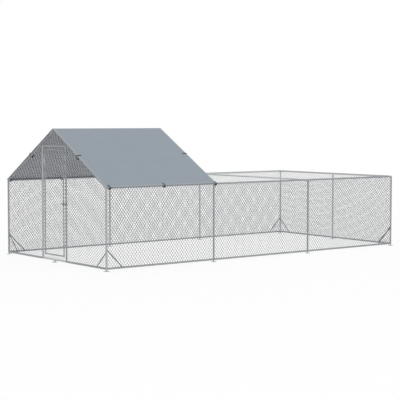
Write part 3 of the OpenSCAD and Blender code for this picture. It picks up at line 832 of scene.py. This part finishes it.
@dataclass
class NetPanel:
    """One panel of netting, cut to its outline and laid on the outside of its tubes.

    The panel is drawn flat: u runs along across, v along up. Where a rail's place on v is given,
    the net goes on past it and is turned round the rail. A net can be stretched along its twists.
    """

    node: str
    origin: Vector
    across: Vector
    up: Vector
    stand: float
    outline: list[Point2]
    lay: Lay
    body: Body = Body.FRAME
    holes: list[Hole] = field(default_factory=list)
    low_rail: Optional[float] = None
    high_rail: Optional[float] = None
    low_wrap: float = math.radians(165)
    high_wrap: float = math.radians(130)
    edge_radius: float = 0.0010
    edge_sides: int = 6
    stretch: float = 1.0
    bend_cuts: int = 3
    hair: float = 1e-6
    sliver: float = 1e-5

    @property
    def rails(self) -> Point2:
        """Places on v past which the net is turned round a rail."""
        return (-math.inf if self.low_rail is None else self.low_rail,
                math.inf if self.high_rail is None else self.high_rail)

    def build(self, weave: NetWeave, repeat: bpy.types.Object) -> bpy.types.Object:
        """Make the panel and lay it in its place.

        Args:
            weave: Sizes of the netting.
            repeat: The modelled repeat.

        Returns:
            The finished panel.
        """
        outline = self.cut_outline()
        net = self.woven(weave, repeat, outline)
        self.cut(net, outline)
        self.open_holes(net)
        edges = [bar("edge_wire", Vector((*a, 0)), Vector((*b, 0)), self.edge_radius,
                     self.edge_sides) for a, b in self.edge_lines(outline)]
        net = joined([net, *edges], f"{self.node}_netting")
        self.turn_round_rails(net, weave)
        normal = self.across.cross(self.up)
        basis = Matrix((self.across, self.up, normal)).transposed().to_4x4()
        net.data.transform(Matrix.Translation(self.origin) @ basis)
        return net

    def cut_outline(self) -> list[Point2]:
        """Outline with the lengths that go round the rails.

        Returns:
            The points of the outline, counter-clockwise.
        """
        low, high = self.rails
        points = []
        for u, v in self.outline:
            if v <= low:
                v = low - self.low_wrap * self.stand
            if v >= high:
                v = high + self.high_wrap * self.stand
            points.append((u, v))
        return points

    def edge_lines(self, outline: list[Point2]) -> list[tuple[Point2, Point2]]:
        """Ends of the wires along the edges.

        Args:
            outline: Outline of the cut net.

        Returns:
            Pairs of ends. Upright edges stop at the rails.
        """
        low, high = self.rails
        lines = []
        for a, b in sides_of(outline):
            if abs(a[1] - b[1]) > self.hair:
                a, b = ((p[0], min(max(p[1], low), high)) for p in (a, b))
            lines.append((a, b))
        return lines

    def woven(self, weave: NetWeave, repeat: bpy.types.Object,
              outline: list[Point2]) -> bpy.types.Object:
        """Netting that covers the outline's box.

        Args:
            weave: Sizes of the netting.
            repeat: The modelled repeat.
            outline: Outline of the cut net.

        Returns:
            The uncut net.
        """
        low = np.min(outline, axis=0)
        size = np.max(outline, axis=0) - low
        wide, high = size if self.lay is Lay.UPRIGHT else size[::-1]
        net = copied(repeat, self.node + "_field")
        steps = ((wide, weave.cell_width, (weave.cell_width, 0, 0)),
                 (high / self.stretch, 2 * weave.row_height, (0, 2 * weave.row_height, 0)))
        for length, step, offset in steps:
            array = net.modifiers.new("rows", "ARRAY")
            array.use_relative_offset = False
            array.use_constant_offset = True
            array.constant_offset_displace = offset
            array.count = math.ceil(length / step) + 2
            apply_modifier(net, array)
        start = Matrix.Diagonal((1, self.stretch, 1, 1))
        start = start @ Matrix.Translation((-weave.cell_width, -2 * weave.row_height, 0))
        if self.lay is Lay.LEVEL:
            turn = Matrix.Rotation(-math.pi / 2, 4, "Z")
            start = Matrix.Translation((0, size[1], 0)) @ turn @ start
        net.data.transform(Matrix.Translation((*low, 0)) @ start)
        return net

    def cut(self, net: bpy.types.Object, outline: list[Point2]) -> None:
        """Cut the net along its outline, close the cut wires and drop slivers.

        Args:
            net: The uncut net.
            outline: Outline of the cut net.
        """
        select_only(net)
        bpy.ops.object.mode_set(mode="EDIT")
        for a, b in sides_of(outline):
            bpy.ops.mesh.select_all(action="SELECT")
            outward = Vector((b[1] - a[1], a[0] - b[0], 0)).normalized()
            bpy.ops.mesh.bisect(plane_co=(*a, 0), plane_no=outward, clear_outer=True,
                                threshold=self.hair)
        bpy.ops.mesh.select_all(action="SELECT")
        bpy.ops.mesh.dissolve_degenerate(threshold=self.sliver)
        bpy.ops.mesh.fill_holes(sides=0)
        bpy.ops.mesh.select_mode(type="EDGE")
        bpy.ops.mesh.select_all(action="DESELECT")
        bpy.ops.mesh.select_non_manifold()
        bpy.ops.mesh.select_linked()
        bpy.ops.mesh.delete(type="VERT")
        bpy.ops.object.mode_set(mode="OBJECT")

    def open_holes(self, net: bpy.types.Object) -> None:
        """Take out the wires that run into a hole.

        Args:
            net: The cut net.
        """
        points = points_of(net)
        mask = np.zeros(len(points), bool)
        for hole in self.holes:
            mask |= hole.holds(points)
        if not mask.any():
            return
        pick(net, Element.VERTICES, mask)
        bpy.ops.mesh.select_linked()
        bpy.ops.mesh.delete(type="VERT")
        bpy.ops.object.mode_set(mode="OBJECT")

    def turn_round_rails(self, net: bpy.types.Object, weave: NetWeave) -> None:
        """Bend the lengths past the rails round them, and lift the net off the tubes' axes.

        Args:
            net: The net with its edge wires, still flat.
            weave: Sizes of the netting.
        """
        low, high = self.rails
        points = points_of(net)
        past = (points[:, 1] < low) | (points[:, 1] > high)
        if past.any():
            ends = np.zeros(len(net.data.edges) * 2, np.int32)
            net.data.edges.foreach_get("vertices", ends)
            ends = ends.reshape(-1, 2)
            rise = np.abs(points[ends[:, 0], 1] - points[ends[:, 1], 1])
            pick(net, Element.EDGES, past[ends].any(axis=1) & (rise > weave.twist_width))
            bpy.ops.mesh.subdivide(number_cuts=self.bend_cuts)
            bpy.ops.object.mode_set(mode="OBJECT")
            points = points_of(net)
        flat = np.clip(points[:, 1], low, high)
        turn = (points[:, 1] - flat) / self.stand
        reach = self.stand + points[:, 2]
        points[:, 1] = flat + reach * np.sin(turn)
        points[:, 2] = reach * np.cos(turn)
        move_points(net, points)


@dataclass
class Netting:
    """All panels of netting on walls, gable, door and roof."""

    run: RunSizes
    weave: NetWeave = field(default_factory=NetWeave)
    wall_stand: float = 0.0146
    door_stand: float = 0.0109
    door_skirt: float = 0.050
    door_brow: float = 0.035
    door_hinge_side: float = 0.020
    door_latch_side: float = 0.036
    lap: float = 0.002
    parting: float = 0.001
    roof_edge: float = 0.004
    roof_stretch: float = 1.15
    collar_half: Point2 = (0.018, 0.033)
    cord_half: Point2 = (0.009, 0.030)
    ball_drop: float = 0.036
    ball_half: Point2 = (0.036, 0.020)
    ball_aside: float = 0.016
    eyelet_half: float = 0.016

    def build(self, wardrobe: Wardrobe) -> list[bpy.types.Object]:
        """Model every panel, dress it and put it on its body.

        Args:
            wardrobe: The materials.

        Returns:
            The panels.
        """
        repeat = self.weave.repeat()
        panels = []
        for panel in self.panels():
            net = panel.build(self.weave, repeat)
            dress(net, wardrobe["netting_wire"])
            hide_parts(panel.node)
            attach(net, panel.body.value)
            panels.append(net)
        bpy.data.objects.remove(repeat)
        return panels

    def panels(self) -> list[NetPanel]:
        """Every panel of the run."""
        return [*self.side_panels(), *self.far_panels(), *self.gable_panels(),
                self.door_panel(), *self.roof_panels()]

    def side_panels(self) -> Iterable[NetPanel]:
        """Panels of the two long walls, one for each bay.

        Returns:
            The panels.
        """
        run, lines = self.run, self.run.bay_lines
        for side, name in ((-1, "near"), (1, "back")):
            for i in range(run.bays):
                ends = sorted(-side * x for x in (lines[i] + self.parting,
                                                  lines[i + 1] - self.parting))
                covered = i == 0
                top = run.eave_height + (self.lap if covered else 0)
                holes = [Hole((-side * x, run.eave_height), self.cord_half)
                         for x in run.eave_tie_xs]
                yield NetPanel(f"{name}_wire_{i + 1}", Vector((0, side * run.half_width, 0)),
                               Vector((-side, 0, 0)), UPWARDS, self.wall_stand,
                               box_outline(ends[0], run.base_height, ends[1], top), Lay.UPRIGHT,
                               holes=holes, low_rail=run.base_height,
                               high_rail=None if covered else run.eave_height)

    def far_panels(self) -> Iterable[NetPanel]:
        """Panels of the far end.

        Returns:
            The panels.
        """
        run = self.run
        for name, u0, u1 in (("near", -run.half_width, -self.parting),
                             ("back", self.parting, run.half_width)):
            yield NetPanel(f"far_wire_{name}", Vector((run.half_length, 0, 0)),
                           Vector((0, 1, 0)), UPWARDS, self.wall_stand,
                           box_outline(u0, run.base_height, u1, run.eave_height), Lay.LEVEL,
                           low_rail=run.base_height, high_rail=run.eave_height)

    def gable_panels(self) -> Iterable[NetPanel]:
        """Panels beside and over the door. They are drawn as seen from outside, so u is -Y.

        Returns:
            The panels.
        """
        run = self.run
        rise = self.lap / math.cos(run.pitch)
        inner = run.post_y + self.parting
        tops = [run.rafter_height(y) + rise for y in (run.half_width, inner)]
        foot = run.base_height
        near = [(inner, foot), (run.half_width, foot), (run.half_width, tops[0]), (inner, tops[1])]
        back = [(-u, v) for u, v in reversed(near)]
        edge = run.post_y - self.parting
        brow = run.rafter_height(edge) + rise
        over = [(-edge, run.head_height - self.lap), (edge, run.head_height - self.lap),
                (edge, brow), (0, run.ridge_height + rise), (-edge, brow)]
        for name, outline, rail in (("near", near, foot), ("back", back, foot),
                                    ("over_door", over, None)):
            yield NetPanel(f"gable_wire_{name}", Vector((-run.half_length, 0, 0)),
                           Vector((0, -1, 0)), UPWARDS, self.wall_stand, outline,
                           Lay.LEVEL, holes=self.gable_holes(), low_rail=rail)

    def gable_holes(self) -> list[Hole]:
        """Cut-outs of the gable for its ties, hinges and keeper.

        Returns:
            The holes, with u as -Y.
        """
        run = self.run
        tie_y = run.half_width * (1 - run.gable_tie_share)
        ball_y = tie_y - self.ball_drop * math.sin(run.pitch)
        ball_z = run.rafter_height(tie_y) - self.ball_drop * math.cos(run.pitch)
        ties = [Hole((s * ball_y + self.ball_aside, ball_z), self.ball_half) for s in (-1, 1)]
        collars = [Hole((-run.post_y, z), self.collar_half) for z in run.hinge_heights]
        return [*ties, *collars, Hole((run.post_y, run.latch_height), self.collar_half)]

    def door_panel(self) -> NetPanel:
        """Panel of the door, which reaches past its frame to close the gaps round it.

        Returns:
            The panel.
        """
        run = self.run
        holes = [Hole((-run.stile_y, z), self.collar_half) for z in run.hinge_heights]
        holes.append(Hole((run.stile_y, run.latch_height), self.collar_half))
        return NetPanel("door_wire", Vector((-run.half_length, 0, 0)), Vector((0, -1, 0)),
                        UPWARDS, self.door_stand,
                        box_outline(-run.stile_y - self.door_hinge_side,
                                    run.door_bottom - self.door_skirt,
                                    run.stile_y + self.door_latch_side,
                                    run.door_top + self.door_brow), Lay.LEVEL, Body.DOOR, holes)

    def roof_panels(self) -> Iterable[NetPanel]:
        """Panels under the cover on both slopes.

        Returns:
            The panels.
        """
        run, lines = self.run, self.run.bay_lines
        c, s = math.cos(run.pitch), math.sin(run.pitch)
        tie_v = run.gable_tie_share * run.slope_length
        half = (self.eyelet_half, self.eyelet_half)
        for side, name in ((-1, "near"), (1, "back")):
            places = [(x, run.tie_inset) for x in run.eave_tie_xs[:2]]
            places += [(lines[0] + run.tie_inset, tie_v), (lines[1] - run.tie_inset, tie_v)]
            ends = sorted(-side * x for x in (lines[0] - self.roof_edge,
                                              lines[1] + self.roof_edge))
            yield NetPanel(f"roof_wire_{name}",
                           Vector((0, side * run.half_width, run.eave_height)),
                           Vector((-side, 0, 0)), Vector((0, -side * c, s)), self.wall_stand,
                           box_outline(ends[0], 0, ends[1], run.slope_length - self.lap),
                           Lay.UPRIGHT, holes=[Hole((-side * x, v), half) for x, v in places],
                           stretch=self.roof_stretch)


@dataclass
class RoofCover:
    """Cloth over the first bay, drawn over the ridge and round both eave rails."""

    run: RunSizes
    eave_wrap: float = math.radians(35)
    stand: float = 0.0166
    thickness: float = 0.0012
    columns: int = 98
    rows: int = 162
    crease: float = math.radians(50)
    wave: float = 0.006
    wave_bed: float = 0.35
    long_waves: Place = (3.1, 0.9, 4.7)
    short_waves: Place = (7.0, 2.2, 1.3)
    short_share: float = 0.5
    pucker: float = 0.002
    pucker_rays: int = 7
    pucker_reach: float = 0.13
    calm_reach: float = 0.05
    calm_share: float = 0.3
    pull_reach: float = 0.25
    hem_width: float = 0.028
    hem_thickness: float = 0.0010
    hem_cuts: tuple[int, int] = (3, 5)
    eyelet_radius: float = 0.0046
    punch_reach: float = 0.012
    punch_sides: int = 24

    @property
    def edges(self) -> Point2:
        """X of the cloth's edges over the door gable and the inner gable."""
        run = self.run
        return run.bay_lines[0] - run.door_overhang, run.bay_lines[1] + run.inner_overhang

    @property
    def width(self) -> float:
        """Flat width of the cloth, along the ridge."""
        return self.edges[1] - self.edges[0]

    @property
    def half_girth(self) -> float:
        """Flat length of the cloth from the ridge to a hem."""
        return self.stand * (self.run.pitch + self.eave_wrap) + self.run.slope_length

    def ties(self) -> list[Point2]:
        """Eyelets on the flat cloth.

        Returns:
            For each eyelet, its X and its way from the ridge line.
        """
        run, lines = self.run, self.run.bay_lines
        ridge = self.stand * run.pitch
        eave = ridge + run.slope_length - run.tie_inset
        middle = ridge + run.slope_length * (1 - run.gable_tie_share)
        places = [(x, eave) for x in run.eave_tie_xs]
        places += [(lines[0] + run.tie_inset, middle), (lines[1] - run.tie_inset, middle)]
        return [(x, side * t) for side in (-1, 1) for x, t in places]

    def drape(self, flat: np.ndarray, lift: np.ndarray) -> np.ndarray:
        """Lay flat cloth over the roof.

        Args:
            flat: Rows of X and the way from the ridge line.
            lift: Height of each point above the cloth's bed.

        Returns:
            Rows of places in the run's frame.
        """
        run = self.run
        ridge_arc = self.stand * run.pitch
        away, side = np.abs(flat[:, 1]), np.sign(flat[:, 1])
        slope = np.clip(away - ridge_arc, 0, run.slope_length)
        turn = np.minimum(away, ridge_arc) / self.stand
        turn = turn + np.maximum(away - ridge_arc - run.slope_length, 0) / self.stand
        reach = self.stand + lift
        y = slope * math.cos(run.pitch) + reach * np.sin(turn)
        z = run.ridge_height - slope * math.sin(run.pitch) + reach * np.cos(turn)
        return np.stack([flat[:, 0], side * y, z], axis=1)

    def lift(self, flat: np.ndarray) -> np.ndarray:
        """Soft waves of the cloth, and puckers that run out from the eyelets.

        Args:
            flat: Rows of X and the way from the ridge line.

        Returns:
            Height of each point above the cloth's bed, never below it.
        """
        waves = np.array([self.ripple(x, t) for x, t in flat])
        rise = self.wave * np.clip(waves + self.wave_bed, 0, None) * self.slack(flat)
        for tie in self.ties():
            off = flat - np.array(tie)
            away = np.hypot(off[:, 0], off[:, 1])
            free = np.clip(away / self.calm_reach - self.calm_share, 0, 1)
            rays = 0.5 + 0.5 * np.cos(self.pucker_rays * np.arctan2(off[:, 1], off[:, 0]))
            share = away / self.pucker_reach
            rise *= free
            rise += self.pucker * rays * share * np.exp(1 - share) * free
        return rise

    def ripple(self, x: float, t: float) -> float:
        """Long and short waves of the cloth.

        Each kind has its waves in a metre along the ridge and down the roof, and its own noise.

        Args:
            x: Place along the ridge.
            t: Way from the ridge line.

        Returns:
            Height of the waves, as a share of the wave's size.
        """
        tall, small = (noise.noise((x * along, t * down, layer))
                       for along, down, layer in (self.long_waves, self.short_waves))
        return tall + self.short_share * small

    def slack(self, flat: np.ndarray) -> np.ndarray:
        """How far a point lies from the tubes that hold the cloth tight.

        Args:
            flat: Rows of X and the way from the ridge line.

        Returns:
            0 on a tube, 1 from the reach of its pull onwards.
        """
        door, inner = self.run.bay_lines[:2]
        away = np.minimum.reduce([flat[:, 0] - door, inner - flat[:, 0], np.abs(flat[:, 1]),
                                  self.half_girth - np.abs(flat[:, 1])])
        return np.clip(away / self.pull_reach, 0, 1)

    def strip(self, name: str, low: Point2, high: Point2, cuts: tuple[int, int], thickness: float,
              raised: float, outside: bpy.types.Material,
              inside: bpy.types.Material) -> bpy.types.Object:
        """Rectangle of the cloth, laid over the roof and thickened.

        Args:
            name: Name of the piece.
            low: X and way from the ridge line of one corner.
            high: The same of the opposite corner.
            cuts: Divisions along X and down the roof.
            thickness: Thickness of the cloth.
            raised: How far its middle lies above that of the cover.
            outside: Material of its outer face and its edge.
            inside: Material of its inner face.

        Returns:
            The piece.
        """
        middle, size = np.add(low, high) / 2, np.subtract(high, low)
        bpy.ops.object.select_all(action="DESELECT")
        bpy.ops.mesh.primitive_grid_add(x_subdivisions=cuts[0], y_subdivisions=cuts[1], size=1,
                                        location=(*middle, 0))
        piece = added(name)
        piece.scale = (*size, 1)
        settle(piece)
        flat = points_of(piece)[:, :2]
        write_uv(piece, self.pattern(flat, size))
        move_points(piece, self.drape(flat, self.lift(flat) + raised))
        dress(piece, outside)
        piece.data.materials.append(inside)
        wall = piece.modifiers.new("cloth", "SOLIDIFY")
        wall.thickness = thickness
        wall.offset = 0
        wall.material_offset = 1
        apply_modifier(piece, wall)
        bpy.ops.object.shade_smooth_by_angle(angle=self.crease)
        return piece

    def pattern(self, flat: np.ndarray, size: np.ndarray) -> np.ndarray:
        """Place of each point on the flat cloth, with the longer side first.

        Args:
            flat: Rows of X and the way from the ridge line.
            size: Width and length of the piece.

        Returns:
            Rows of lengths along the piece and across it.
        """
        own = flat - flat.min(axis=0)
        return own if size[0] > size[1] else own[:, ::-1]

    def punch(self, cloth: bpy.types.Object) -> None:
        """Cut the holes that the eyelets sit in.

        Args:
            cloth: The thick cloth.
        """
        flat = np.array(self.ties())
        feet = self.drape(flat, np.full(len(flat), -self.punch_reach))
        heads = self.drape(flat, np.full(len(flat), self.punch_reach))
        punches = joined([bar("punch", Vector(a), Vector(b), self.eyelet_radius, self.punch_sides)
                          for a, b in zip(feet, heads)], "punches")
        holes = cloth.modifiers.new("eyelet_holes", "BOOLEAN")
        holes.operation = "DIFFERENCE"
        holes.object = punches
        apply_modifier(cloth, holes)
        bpy.data.objects.remove(punches)

    def hems(self, wardrobe: Wardrobe) -> bpy.types.Object:
        """Folded edges along the four sides of the cloth.

        Args:
            wardrobe: The materials.

        Returns:
            The hems as one piece.
        """
        (x0, x1), t0, t1 = self.edges, -self.half_girth, self.half_girth
        w = self.hem_width
        raised = (self.thickness + self.hem_thickness) / 2
        gable = (self.hem_cuts[0], self.rows)
        eave = (self.columns, self.hem_cuts[1])
        spans = {
            Edge.DOOR_GABLE: ((x0, t0), (x0 + w, t1), gable),
            Edge.INNER_GABLE: ((x1 - w, t0), (x1, t1), gable),
            Edge.NEAR_EAVE: ((x0, t0), (x1, t0 + w), eave),
            Edge.BACK_EAVE: ((x0, t1 - w), (x1, t1), eave),
        }
        # The hems take the lighter colour, a painted highlight along the cover's edges.
        hem = wardrobe["cover_hem_painted_highlight"]
        strips = [self.strip(f"hem_{edge.value}", low, high, cuts, self.hem_thickness, raised,
                             hem, hem) for edge, (low, high, cuts) in spans.items()]
        return joined(strips, "cover_hems")

    def build(self, wardrobe: Wardrobe) -> list[bpy.types.Object]:
        """Model the cover and its hems.

        Args:
            wardrobe: The materials.

        Returns:
            The cloth and its hems.
        """
        cloth = self.strip("roof_cover_cloth", (self.edges[0], -self.half_girth),
                           (self.edges[1], self.half_girth), (self.columns, self.rows),
                           self.thickness, 0.0, wardrobe["cover_cloth"],
                           # The inner face is the grey painted lighter for the light under the
                           # roof.
                           wardrobe["cover_inner_grey_with_painted_light"])
        self.punch(cloth)
        hems = self.hems(wardrobe)
        for piece in (cloth, hems):
            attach(piece, Body.FRAME.value)
        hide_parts("roof_cover")
        return [cloth, hems]


@dataclass
class TieCords:
    """Elastic loops of the ball ties, each from its eyelet over the cover, ball and tube."""

    run: RunSizes
    radius: float = 0.0045
    corner: float = 0.008
    cord_top: float = 0.0228
    rise: float = 0.003
    tube_below: float = 0.0178
    eyelet_foot: float = 0.007
    ball_reach: float = 0.022
    eave_ball: Point2 = (0.031, 0.008)
    gable_ball: Point2 = (-0.010, -0.036)
    edge_gap: float = 0.006
    bend_steps: int = 5
    round_steps: int = 3

    def eave_route(self) -> list[Vector]:
        """Corners of an eave loop: out over the cover, down through its ball and round the rail.

        Returns:
            Distances out from the rail and up from the roof plane.
        """
        out, up = self.eave_ball
        below = self.tube_below
        top = max(self.cord_top + self.rise, up + self.ball_reach)
        return [Vector(p) for p in (
            (-self.run.tie_inset, self.cord_top), (out, top), (out, up - self.ball_reach),
            (0, -below), (-below, -below), (-self.run.tie_inset, self.eyelet_foot))]

    def gable_route(self, overhang: float) -> list[Vector]:
        """Corners of a gable loop: over the cover's edge and back under the rafter to its ball.

        Args:
            overhang: How far the cover reaches past the rafter.

        Returns:
            Distances out from the rafter and up from the roof plane.
        """
        back, up = self.gable_ball
        out = overhang + self.edge_gap
        return [Vector(p) for p in (
            (-self.run.tie_inset, self.cord_top), (out, self.cord_top + self.rise),
            (out, up), (back - self.ball_reach, up),
            (-self.run.tie_inset, self.eyelet_foot))]

    def rounded(self, corners: list[Vector]) -> list[Vector]:
        """Round the corners of a closed route.

        Args:
            corners: Its corners.

        Returns:
            Points along the rounded route.
        """
        points = []
        for i, p in enumerate(corners):
            a = p + (corners[i - 1] - p).normalized() * self.corner
            b = p + (corners[(i + 1) % len(corners)] - p).normalized() * self.corner
            for k in range(self.bend_steps):
                s = k / (self.bend_steps - 1)
                points.append(a * (1 - s) ** 2 + p * 2 * s * (1 - s) + b * s ** 2)
        return points

    def slope_point(self, side: int, x: float, v: float, n: float) -> Vector:
        """A point above a roof slope.

        Args:
            side: -1 for the near slope, 1 for the back one.
            x: Place along the ridge.
            v: Way up from the eave rail.
            n: Height square to the roof plane.

        Returns:
            The point in the run's frame.
        """
        c, s = math.cos(self.run.pitch), math.sin(self.run.pitch)
        return Vector((x, side * (self.run.half_width - v * c + n * s),
                       self.run.eave_height + v * s + n * c))

    def loops(self) -> Iterable[list[Vector]]:
        """Routes of all loops in the run's frame.

        Returns:
            The points of each loop.
        """
        run = self.run
        middle = run.gable_tie_share * run.slope_length
        eave = self.rounded(self.eave_route())
        gables = ((-1, run.bay_lines[0], self.rounded(self.gable_route(run.door_overhang))),
                  (1, run.bay_lines[1], self.rounded(self.gable_route(run.inner_overhang))))
        for side in (-1, 1):
            for x in run.eave_tie_xs:
                yield [self.slope_point(side, x, -q.x, q.y) for q in eave]
            for way, x, route in gables:
                yield [self.slope_point(side, x + way * q.x, middle, q.y) for q in route]

    def cord(self, points: list[Vector]) -> bpy.types.Object:
        """Round cord along a closed route.

        Args:
            points: Points of the route.

        Returns:
            The cord as a mesh.
        """
        line = bpy.data.curves.new("tie_cord", "CURVE")
        line.dimensions = "3D"
        line.bevel_depth = self.radius
        line.bevel_resolution = self.round_steps
        spline = line.splines.new("POLY")
        spline.points.add(len(points) - 1)
        for place, p in zip(spline.points, points):
            place.co = (*p, 1)
        spline.use_cyclic_u = True
        cord = bpy.data.objects.new("tie_cord", line)
        bpy.context.scene.collection.objects.link(cord)
        select_only(cord)
        bpy.ops.object.convert(target="MESH")
        return bpy.context.active_object

    def build(self, wardrobe: Wardrobe) -> list[bpy.types.Object]:
        """Model the loops as one piece.

        Args:
            wardrobe: The materials.

        Returns:
            The cords, as a list of one.
        """
        cords = joined([self.cord(points) for points in self.loops()], "tie_cords")
        bpy.ops.object.shade_smooth()
        dress(cords, wardrobe["elastic_cord"])
        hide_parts("tie_loops")
        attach(cords, Body.FRAME.value)
        return [cords]


@dataclass(frozen=True)
class Lamp:
    """Soft square lamp that faces the middle of the run."""

    name: str
    place: Place
    size: float
    power: float


@dataclass
class Studio:
    """Pale floor, soft lamps, white surround and the camera of the photograph."""

    camera_place: Place = (-11.8275, -15.0925, 2.068)
    camera_yaw: float = math.radians(52.213)
    camera_pitch: float = math.radians(-3.766)
    focal_px: float = 1187.7
    frame_px: float = 400.0
    sensor: float = 36.0
    view_reach: float = 200.0
    floor_size: float = 160.0
    floor_albedo: float = 0.95
    floor_white: float = 0.90
    floor_fade: Point2 = (6.0, 14.0)
    floor_glow: float = 0.80
    ambient: float = 0.78
    aim: Place = (0.0, 0.0, 0.8)
    lamps: tuple[Lamp, ...] = (
        Lamp("key_lamp", (-9.0, -16.0, 16.0), 9.0, 520.0),
        Lamp("fill_lamp", (15.0, -9.0, 14.0), 10.0, 280.0),
        Lamp("back_lamp", (2.0, 16.0, 15.0), 10.0, 220.0),
    )

    def build(self) -> None:
        """Set up floor, world, lamps and camera."""
        self.floor()
        self.world()
        for lamp in self.lamps:
            self.lamp(lamp)
        self.camera()
        bpy.context.scene.view_settings.view_transform = "Standard"

    def floor(self) -> None:
        """Lay the floor: white to the eye but for a faint shadow, and with a glow of its own."""
        bpy.ops.object.select_all(action="DESELECT")
        bpy.ops.mesh.primitive_plane_add(size=self.floor_size)
        floor = added("floor")
        s = Shading(bpy.data.materials.new("floor_pale"))
        seen = self.seen(s)
        away = s.node("ShaderNodeVectorMath", Vector=s.place())
        away.operation = "LENGTH"
        white = s.span(away.outputs["Value"], self.floor_white, 1.0, *self.floor_fade)
        lit = s.node("ShaderNodeBsdfDiffuse", Color=(*[self.floor_albedo] * 3, 1))
        plain = s.node("ShaderNodeEmission", Color=WHITE, Strength=1.0)
        share = s.maths("MAXIMUM", s.maths("MULTIPLY", seen, white), self.floor_glow)
        dress(floor, s.finish(s.mixed(share, lit, plain)))

    def seen(self, s: Shading) -> bpy.types.NodeSocket:
        """Whether a ray shows the surround to the eye, straight or by a mirror.

        Args:
            s: The tree of the floor or the world.

        Returns:
            1 for such a ray, otherwise 0.
        """
        path = s.node("ShaderNodeLightPath")
        mirrored = s.maths("MAXIMUM", path.outputs["Is Glossy Ray"],
                           path.outputs["Is Transmission Ray"])
        return s.maths("MAXIMUM", path.outputs["Is Camera Ray"], mirrored)

    def world(self) -> None:
        """Surround that is white to the eye and lights the object evenly."""
        s = Shading(bpy.data.worlds.new("surround"), "ShaderNodeOutputWorld")
        light = s.node("ShaderNodeBackground", Color=WHITE, Strength=self.ambient)
        plain = s.node("ShaderNodeBackground", Color=WHITE, Strength=1.0)
        bpy.context.scene.world = s.finish(s.mixed(self.seen(s), light, plain))

    def lamp(self, lamp: Lamp) -> None:
        """Hang one lamp.

        Args:
            lamp: Its place, size and power.
        """
        bpy.ops.object.select_all(action="DESELECT")
        bpy.ops.object.light_add(type="AREA", location=lamp.place)
        light = added(lamp.name)
        light.data.size = lamp.size
        light.data.energy = lamp.power
        way = Vector(self.aim) - Vector(lamp.place)
        light.rotation_euler = way.to_track_quat("-Z", "Y").to_euler()

    def camera(self) -> None:
        """Set up the camera at the photograph's viewing angle."""
        data = bpy.data.cameras.new("camera")
        data.sensor_width = self.sensor
        data.lens = self.focal_px / self.frame_px * self.sensor
        data.clip_end = self.view_reach
        camera = bpy.data.objects.new("camera", data)
        bpy.context.scene.collection.objects.link(camera)
        level = math.cos(self.camera_pitch)
        way = Vector((math.cos(self.camera_yaw) * level, math.sin(self.camera_yaw) * level,
                      math.sin(self.camera_pitch)))
        camera.location = self.camera_place
        camera.rotation_euler = way.to_track_quat("-Z", "Y").to_euler()
        bpy.context.scene.camera = camera


def main() -> None:
    """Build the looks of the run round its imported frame."""
    logging.basicConfig(level=logging.INFO, format="%(name)s: %(message)s")
    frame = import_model()
    run = RunSizes()
    wardrobe = Wardrobe(Finishes())
    wardrobe.dress_frame(frame)
    Studio().build()
    for assembly in (Netting(run), RoofCover(run), TieCords(run)):
        for piece in assembly.build(wardrobe):
            LOG.info("%s: %d faces", piece.name, len(piece.data.polygons))


if __name__ == "__main__":
    main()
